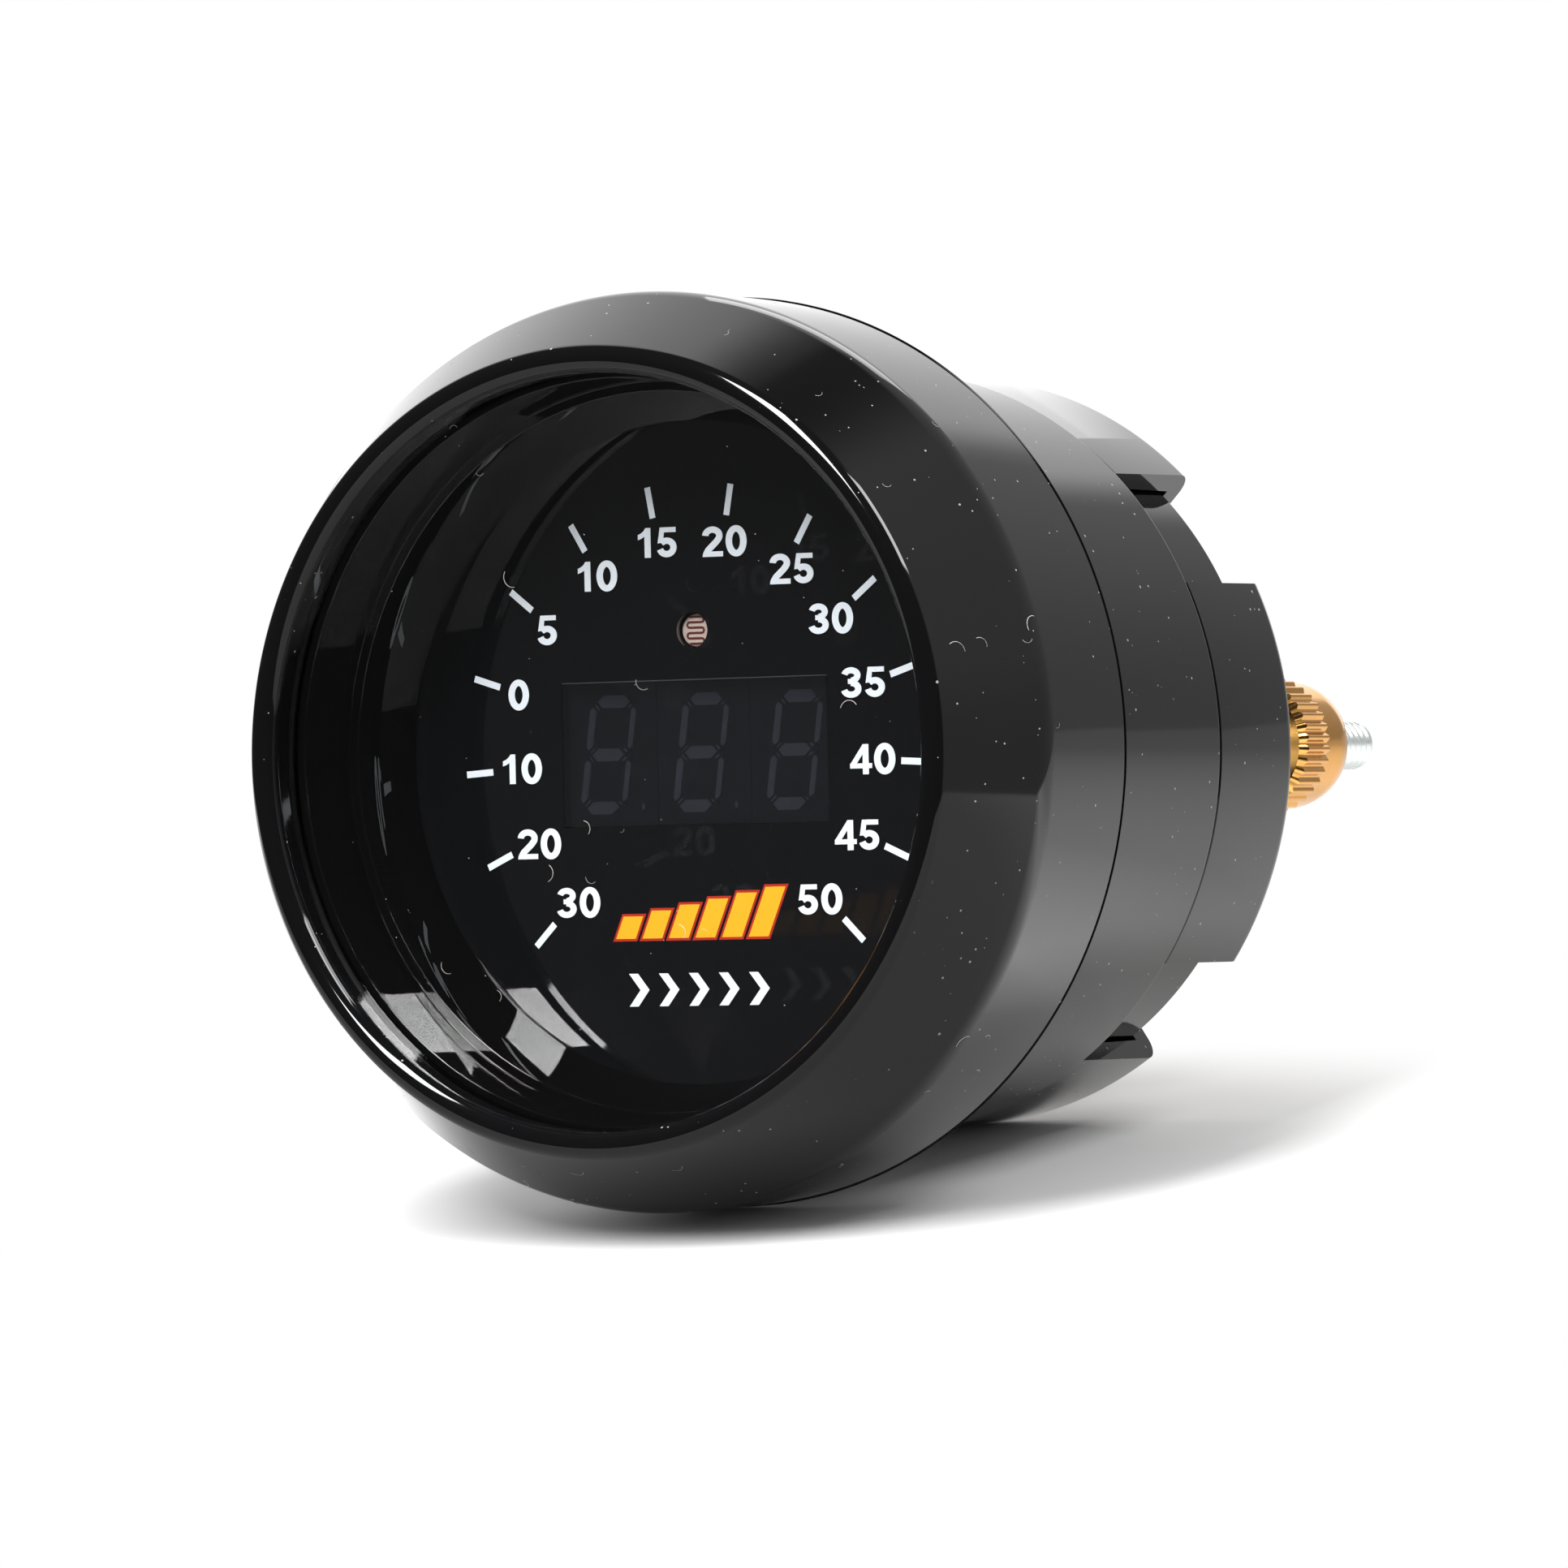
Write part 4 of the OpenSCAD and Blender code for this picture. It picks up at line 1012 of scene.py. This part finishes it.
# %% [markdown]
# ## The printed scale
# Fourteen equal marks stand round three quarters of a circle. A point is placed for each mark from its
# number, and one thin bar is set on each point and turned to face the centre. Ink has a little thickness, so
# each mark is a real slip of 0.02 mm on the dial.

# %% Marks
INK_T = 0.02
MARK_SIZES = {
    "Count": 14, "First angle": math.radians(225), "Sweep": math.radians(270), "Inner": 16.0 * MM,
    "Outer": 18.11 * MM, "Width": 0.45 * MM, "Ink": INK_T * MM, "Height": (DIAL_FRONT - INK_T / 2) * MM,
}
tree, given = new_tree("ring_of_marks", MARK_SIZES)
size = given.outputs
number = add(tree, "GeometryNodeInputIndex")
gaps = add(tree, "ShaderNodeMath", {0: size["Count"], 1: 1.0}, operation="SUBTRACT")
step_angle = add(tree, "ShaderNodeMath", {0: size["Sweep"], 1: gaps}, operation="DIVIDE")
passed = add(tree, "ShaderNodeMath", {0: number, 1: step_angle}, operation="MULTIPLY")
angle = add(tree, "ShaderNodeMath", {0: size["First angle"], 1: passed}, operation="SUBTRACT")
both_ends = add(tree, "ShaderNodeMath", {0: size["Inner"], 1: size["Outer"]}, operation="ADD")
middle = add(tree, "ShaderNodeMath", {0: both_ends, 1: 0.5}, operation="MULTIPLY")
cosine = add(tree, "ShaderNodeMath", {0: angle}, operation="COSINE")
sine = add(tree, "ShaderNodeMath", {0: angle}, operation="SINE")
across = add(tree, "ShaderNodeMath", {0: middle, 1: cosine}, operation="MULTIPLY")
upward = add(tree, "ShaderNodeMath", {0: middle, 1: sine}, operation="MULTIPLY")
spot = add(tree, "ShaderNodeCombineXYZ", {"X": across, "Y": size["Height"], "Z": upward})
points = add(tree, "GeometryNodePoints", {"Count": size["Count"], "Position": spot})
length = add(tree, "ShaderNodeMath", {0: size["Outer"], 1: size["Inner"]}, operation="SUBTRACT")
bar_size = add(tree, "ShaderNodeCombineXYZ", {"X": length, "Y": size["Ink"], "Z": size["Width"]})
bar = add(tree, "GeometryNodeMeshCube", {"Size": bar_size})
back_turn = add(tree, "ShaderNodeMath", {0: angle, 1: -1.0}, operation="MULTIPLY")
turned = add(tree, "ShaderNodeCombineXYZ", {"Y": back_turn})
facing_in = add(tree, "FunctionNodeEulerToRotation", {0: turned})
laid = add(tree, "GeometryNodeInstanceOnPoints", {"Points": points, "Instance": bar, "Rotation": facing_in})
end_tree(tree, laid, INKS["white"])
grown("scale_marks", tree, MARK_SIZES, "case")

# %% [markdown]
# ## The shapes of the figures
# Each figure is drawn with a broad pen: a path, a pen width and a few straight-edged plates. That keeps the
# plain, heavy look of instrument lettering and needs no font. The shapes are drawn one unit tall.

# %% Figures
def oval(cx, cy, rx, ry, start, end, steps=22):
    """Points along part of an oval, in degrees."""
    turns = [math.radians(start + (end - start) * i / steps) for i in range(steps + 1)]
    return [(cx + rx * math.cos(t), cy + ry * math.sin(t)) for t in turns]


def pen(path, wide, closed=False):
    """The left and right edges of a pen stroke along a path."""
    left, rights = [], []
    count = len(path)
    for i in range(count):
        before = path[i - 1] if (i or closed) else path[i]
        after = path[(i + 1) % count] if (i < count - 1 or closed) else path[i]
        direction = (Vector(after) - Vector(before)).normalized()
        side = Vector((-direction.y, direction.x)) * wide / 2
        left.append(tuple(Vector(path[i]) + side))
        rights.append(tuple(Vector(path[i]) - side))
    return [left, rights], closed


def plate(*points):
    """A straight-edged plate, as one outline."""
    return [points], False


FIGURES = {
    "0": [pen(oval(0, 0.5, 0.242, 0.415, 0, 360 - 360 / 40, 39), 0.215, closed=True)],
    "1": [
        plate((0.02, 0), (0.225, 0), (0.225, 1), (0.06, 1), (0.0, 0.9), (-0.1, 0.82), (-0.2, 0.775),
              (-0.2, 0.605), (-0.09, 0.645), (0.02, 0.715)),
    ],
    "2": [
        pen(oval(-0.01, 0.70, 0.235, 0.205, 178, -28)
            + [(0.12, 0.50), (-0.02, 0.36), (-0.15, 0.235), (-0.235, 0.08)], 0.21),
        plate((-0.345, 0), (0.335, 0), (0.335, 0.175), (-0.30, 0.175), (-0.335, 0.09)),
    ],
    "3": [
        pen(oval(-0.015, 0.735, 0.215, 0.17, 168, -88), 0.2),
        pen(oval(-0.015, 0.29, 0.235, 0.195, 92, -168), 0.205),
        plate((-0.115, 0.455), (0.03, 0.455), (0.03, 0.62), (-0.115, 0.62)),
    ],
    "4": [
        plate((0.055, 0), (0.25, 0), (0.25, 1), (0.055, 1)),
        plate((-0.36, 0.2), (0.36, 0.2), (0.36, 0.365), (-0.36, 0.365)),
        plate((-0.36, 0.33), (-0.16, 0.33), (0.20, 0.90), (0.20, 1), (0.07, 1)),
    ],
    "5": [
        plate((-0.235, 0.83), (0.295, 0.83), (0.295, 1), (-0.235, 1)),
        plate((-0.235, 1), (-0.08, 1), (-0.125, 0.60), (-0.155, 0.49), (-0.315, 0.47)),
        pen(oval(-0.015, 0.325, 0.23, 0.225, 140, -165), 0.21),
    ],
}
print("figures drawn:", " ".join(FIGURES))

# %% [markdown]
# ## The numbers
# The same six figures make all fourteen numbers, each 2 mm tall as on the dial. A number is given by its
# text and the place of its centre. Where two shapes of a figure cross, the later lies a hair higher, so that
# they don't flicker.

# %% Numbers
FIGURE_H, FIGURE_WIDE, ADVANCE = 2.0, 1.17, 1.82
LAYER = 0.2
NUMBERS = [
    ("30", -9.4, -9.9), ("20", -12.4, -5.9), ("10", -13.8, -0.8), ("0", -13.8, 4.2), ("5", -11.4, 8.5),
    ("10", -7.5, 12.0), ("15", -2.7, 14.1), ("20", 2.7, 14.0), ("25", 7.9, 12.0), ("30", 10.8, 8.6),
    ("35", 13.2, 4.3), ("40", 13.8, -0.8), ("45", 12.5, -5.8), ("50", 9.5, -10.0),
]


def stamp(bm, shape, x, z, scale, wide=1.0, layer=0):
    """Adds one inked shape to a mesh, with its centre at x, z. A layer lies a little above the one before."""
    edges, closed = shape
    placed = [[(x + px * scale * wide, z + (pz - 0.5) * scale) for px, pz in edge] for edge in edges]
    top = DIAL_FRONT - INK_T * (1 + LAYER * layer)
    if len(placed) == 1:
        extrude(bm, placed[0], top, DIAL_FRONT)
    else:
        ribbon(bm, *placed, top, DIAL_FRONT, closed)


bm = bmesh.new()
for text, x, z in NUMBERS:
    for k, letter in enumerate(text):
        left = x + (k - (len(text) - 1) / 2) * ADVANCE
        for layer, shape in enumerate(FIGURES[letter]):
            stamp(bm, shape, left, z, FIGURE_H, FIGURE_WIDE, layer)
numbers = object_from(bm, "scale_numbers")
numbers.data.materials.append(INKS["white"])
dress(numbers, "case", "dial_black")
print("numbers:", len(NUMBERS), "faces:", len(numbers.data.polygons))

# %% [markdown]
# ## Plain ornaments under the digits
# The two places under the digits hold plain ornaments: a row of bars that grow, in yellow on red, and a row
# of white chevrons. Both repeat one shape along a line, and a short loop places them. The yellow lies on the
# red, as a second pass of a screen print does.

# %% Level bars and chevrons
BARS, BAR_STEP, BAR_W, BAR_LEAN, BAR_FOOT, RED_EDGE = 6, 2.08, 1.55, 0.42, -12.4, 0.17
CHEVRONS, CHEVRON_STEP = 5, 2.35
CHEVRON = plate((-0.42, 0), (-0.1, 0), (0.3, 0.5), (-0.1, 1), (-0.42, 1), (-0.02, 0.5))
red_bm, yellow_bm, white_bm = bmesh.new(), bmesh.new(), bmesh.new()
for i in range(BARS):
    x = -0.5 + (i - (BARS - 1) / 2) * BAR_STEP
    height = 1.5 + 1.8 * i / (BARS - 1)
    for bm, edge, thick in ((red_bm, RED_EDGE, 1), (yellow_bm, 0.0, 1.6)):
        square = rectangle(BAR_W + 2 * edge, height + 2 * edge, x, BAR_FOOT + height / 2)
        corners = [(px + (pz - BAR_FOOT) * BAR_LEAN, pz) for px, pz in square]
        extrude(bm, corners, DIAL_FRONT - thick * INK_T, DIAL_FRONT)
for i in range(CHEVRONS):
    stamp(white_bm, CHEVRON, 0.1 + (i - 2) * CHEVRON_STEP, -15.85, 2.2)
for bm, name, ink in (
    (red_bm, "level_bars_edge", "red"), (yellow_bm, "level_bars", "yellow"), (white_bm, "chevrons", "white")
):
    made = object_from(bm, name)
    made.data.materials.append(INKS[ink])
    dress(made, "case", "dial_black")
print("level bars:", BARS, "chevrons:", CHEVRONS)

# %% [markdown]
# ## The unlit digits
# Behind the smoked pane each module shows its seven bars as faint shapes, a little bluer than the epoxy
# round them. A bar is a slip with pointed ends, and all of them lean by the same angle.

# %% Bars of the digits
DIGIT_PITCH, SEGMENT_W, LEAN, SHIFT = 7.3, 0.95, math.tan(math.radians(8)), -0.45
DIGIT_W, DIGIT_H, POINT_X, POINT_R = 4.1, 8.0, 3.6, 0.36
MODULE_FRONT = reach("display_digit_middle", Y, LOW)
# Diffusing resin in an unlit bar: pale, cool and half matt.
UNLIT_RESIN = finish("unlit_bar", "#8d94a6", 0.5, 1.5, grain=0.4, depth=0.002)


def slanted_bar(x0, z0, x1, z1):
    """One pointed bar of a seven-bar figure, leaning with the rest."""
    along = Vector((x1 - x0, z1 - z0)).normalized() * SEGMENT_W / 2
    side = Vector((-along.y, along.x))
    p, q = Vector((x0, z0)) + along * 0.3, Vector((x1, z1)) - along * 0.3
    points = [p, p + along + side, q - along + side, q, q - along - side, p + along - side]
    return [(v.x + v.y * LEAN, v.y) for v in points]


w, h = (DIGIT_W - SEGMENT_W) / 2, (DIGIT_H - SEGMENT_W) / 2
BAR_ENDS = (
    (-w, h, w, h), (w, h, w, 0), (w, 0, w, -h), (w, -h, -w, -h),
    (-w, -h, -w, 0), (-w, 0, -w, h), (-w, 0, w, 0),
)
shapes = [slanted_bar(*ends) for ends in BAR_ENDS]
shapes.append(disc(POINT_R, POINT_X - SEGMENT_W, -DIGIT_H / 2 + SEGMENT_W / 2, 20))
bm = bmesh.new()
for digit in (-1, 0, 1):
    for shape in shapes:
        moved = [(px + digit * DIGIT_PITCH + SHIFT, pz) for px, pz in shape]
        extrude(bm, moved, MODULE_FRONT + 0.02, MODULE_FRONT + 0.15)
bars = object_from(bm, "digit_bars")
bars.data.materials.append(UNLIT_RESIN)
dress(bars, "case", "digit_grey")
print("bars and points of the digits:", 3 * len(shapes))

# %% [markdown]
# ## The pane's upper edge
# The pane sits in a window of the dial, and its upper edge shows a thin line of light. That line is a
# painted highlight: a slip of 0.06 mm along that edge, in a dim grey finish.

# %% Line of light
LINE_H, LINE_PROUD, LINE_DEEP = 0.06, 0.004, 0.05
low, high = (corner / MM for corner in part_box("display_pane"))
outline = rectangle(high.x - low.x, LINE_H, (low.x + high.x) / 2, high.z + LINE_H)
painted_highlight = prism(outline, DIAL_FRONT - LINE_PROUD, DIAL_FRONT + LINE_DEEP, "pane_edge")
# A painted highlight along the pane's cut edge: a dim grey.
painted_highlight.data.materials.append(finish("pane_edge", "#3c3e43", 0.4, 1.5, grain=0.5, depth=0.001))
dress(painted_highlight, "case", "smoked_pane")
print("pane from", round(low.z, 2), "to", round(high.z, 2), "mm")

# %% [markdown]
# ## The light sensor
# The light sensor above the digits is a ceramic disc with a winding red-brown track, which lies on it as a
# flat ribbon. The cap is turned on the gauge's axis and then lifted to its place.

# %% Sensor cap
SENSOR_FRONT, CAP_R, CAP_REAR = DIAL_FRONT + 0.5, 1.1, -3.1
sensor_z = (reach("light_sensor", Z, LOW) + reach("light_sensor", Z, HIGH)) / 2
cap_profile = softened([(0, SENSOR_FRONT), (CAP_R, SENSOR_FRONT), (CAP_R, CAP_REAR), (0, CAP_REAR)], 0.15)
cap = lathe("sensor_cap", cap_profile, 64)
cap.data.transform(Matrix.Translation((0, 0, sensor_z * MM)))
dress(cap, "case", "sensor_ceramic")
print("sensor at", round(sensor_z, 2), "mm")

# %% [markdown]
# ## The sensor's track
# The track is one line that runs to and fro in six rows, with a half circle at each turn. The pen that drew
# the figures draws it too.

# %% Track
TRACK_ROWS, TRACK_STEP, TRACK_END, TRACK_W, TRACK_T = 6, 0.36, 0.48, 0.15, 0.03
track_path = []
for row in range(TRACK_ROWS):
    z = sensor_z + (TRACK_ROWS / 2 - 0.5 - row) * TRACK_STEP
    side = 1 if row % 2 == 0 else -1
    track_path += [(-side * TRACK_END, z), (side * TRACK_END, z)]
    if row < TRACK_ROWS - 1:
        half = TRACK_STEP / 2
        for t in (0.6, 1.57, 2.54):
            track_path.append((side * (TRACK_END + half * math.sin(t)), z - half + half * math.cos(t)))
bm = bmesh.new()
edges, closed = pen(track_path, TRACK_W)
ribbon(bm, *edges, SENSOR_FRONT - TRACK_T, SENSOR_FRONT, closed)
track = object_from(bm, "sensor_track")
# The film of a light sensor, as a rule cadmium sulphide: dull and red-brown.
track.data.materials.append(finish("sensor_track", "#5a2420", 0.4, 1.5, grain=0.1, depth=0.001))
dress(track, "case", "sensor_ceramic")
print("track of", TRACK_ROWS, "rows")

# %% [markdown]
# ## Where lint lies
# Black gloss picks up lint as soon as a cloth has touched it, and a studio photograph shows every hair.
# Geometry Nodes scatter points for it in tufts over the lens, the taper and the ridge of the bezel, with a
# fixed seed. The round nose stays clean, because a hair there would stick out past the bezel.

# %% Places of the lint
LINT_SIZES = {"Radius": 0.5 * MM, "Thickness": 0.013 * MM}
TUFT, OFF_NOSE, LAST_Y = 9, 1.3, -6.0
tree, given = new_tree("scattered_lint", ("Density", *LINT_SIZES))
normal = add(tree, "GeometryNodeInputNormal").outputs[0]
position = add(tree, "GeometryNodeInputPosition").outputs[0]
facing = add(tree, "ShaderNodeSeparateXYZ", {0: normal}).outputs["Y"]
frontal = add(tree, "ShaderNodeMath", {0: facing, 1: -0.4}, operation="LESS_THAN")
outward = add(
    tree, "ShaderNodeVectorMath", {0: normal, 1: position}, operation="DOT_PRODUCT"
).outputs["Value"]
on_ridge = add(tree, "ShaderNodeMath", {0: outward, 1: THREAD_R * MM}, operation="GREATER_THAN")
depth = add(tree, "ShaderNodeSeparateXYZ", {0: position}).outputs["Y"]
at_front = add(tree, "ShaderNodeMath", {0: depth, 1: LAST_Y * MM}, operation="LESS_THAN")
off_nose = add(tree, "ShaderNodeMath", {0: depth, 1: (NOSE_Y + OFF_NOSE) * MM}, operation="GREATER_THAN")
catching = add(tree, "ShaderNodeMath", {0: frontal, 1: on_ridge}, operation="MAXIMUM")
allowed = add(tree, "ShaderNodeMath", {0: at_front, 1: off_nose}, operation="MULTIPLY")
chosen = add(tree, "ShaderNodeMath", {0: catching, 1: allowed}, operation="MULTIPLY")
tufts = add(tree, "ShaderNodeTexNoise", {"Vector": position, "Scale": 1 / (TUFT * MM), "Detail": 1.0})
tufted = add(
    tree, "ShaderNodeMapRange",
    {"Value": tufts, "From Min": 0.48, "From Max": 0.66, "To Min": 0.06, "To Max": 1.0},
)
crowd = add(tree, "ShaderNodeMath", {0: given.outputs["Density"], 1: tufted}, operation="MULTIPLY")
scattered = add(
    tree, "GeometryNodeDistributePointsOnFaces",
    {"Mesh": given.outputs["Geometry"], "Selection": chosen, "Density": crowd, "Seed": 7},
)
print("lint lies from", round(NOSE_Y + OFF_NOSE, 2), "to", LAST_Y, "mm, in tufts of about", TUFT, "mm")

# %% [markdown]
# ## The fibres
# Each hair is a short bowed fibre that lies flat: an arc with a thin three-sided section. One hair is set on
# every point, turned and sized by chance, again with fixed seeds.

# %% Fibres
# Cotton lint: pale, matt and warm.
LINT = finish("cotton_lint", "#c4c0b9", 0.9, 1.5, grain=0.3, depth=0.001)
BOW = math.radians(130)
bow = add(
    tree, "GeometryNodeCurveArc",
    {"Resolution": 9, "Radius": given.outputs["Radius"], "Start Angle": 0.0, "Sweep Angle": BOW},
)
section = add(
    tree, "GeometryNodeCurvePrimitiveCircle", {"Resolution": 3, "Radius": given.outputs["Thickness"]}
)
hair = add(tree, "GeometryNodeCurveToMesh", {"Curve": bow, "Profile Curve": section, "Fill Caps": True})
spin = add(tree, "FunctionNodeRandomValue", {2: 0.0, 3: math.tau, "Seed": 3}, data_type="FLOAT")
about = add(tree, "ShaderNodeCombineXYZ", {"Z": spin.outputs[1]})
spun = add(tree, "FunctionNodeEulerToRotation", {0: about})
lying = add(
    tree, "FunctionNodeRotateRotation", {"Rotation": scattered.outputs["Rotation"], "Rotate By": spun},
    rotation_space="LOCAL",
)
large = add(tree, "FunctionNodeRandomValue", {2: 0.25, 3: 1.5, "Seed": 11}, data_type="FLOAT")
laid = add(
    tree, "GeometryNodeInstanceOnPoints",
    {"Points": scattered, "Instance": hair, "Rotation": lying, "Scale": large.outputs[1]},
)
end_tree(tree, laid, LINT)
for name, carrier, density in (
    ("lint_on_bezel", "bezel_ring_skin", 90000.0), ("lint_on_lens", "lens_disc", 32000.0)
):
    sizes = dict(LINT_SIZES, Density=density)
    grown(name, tree, sizes, "bezel_ring", bpy.data.objects[carrier].data.copy())
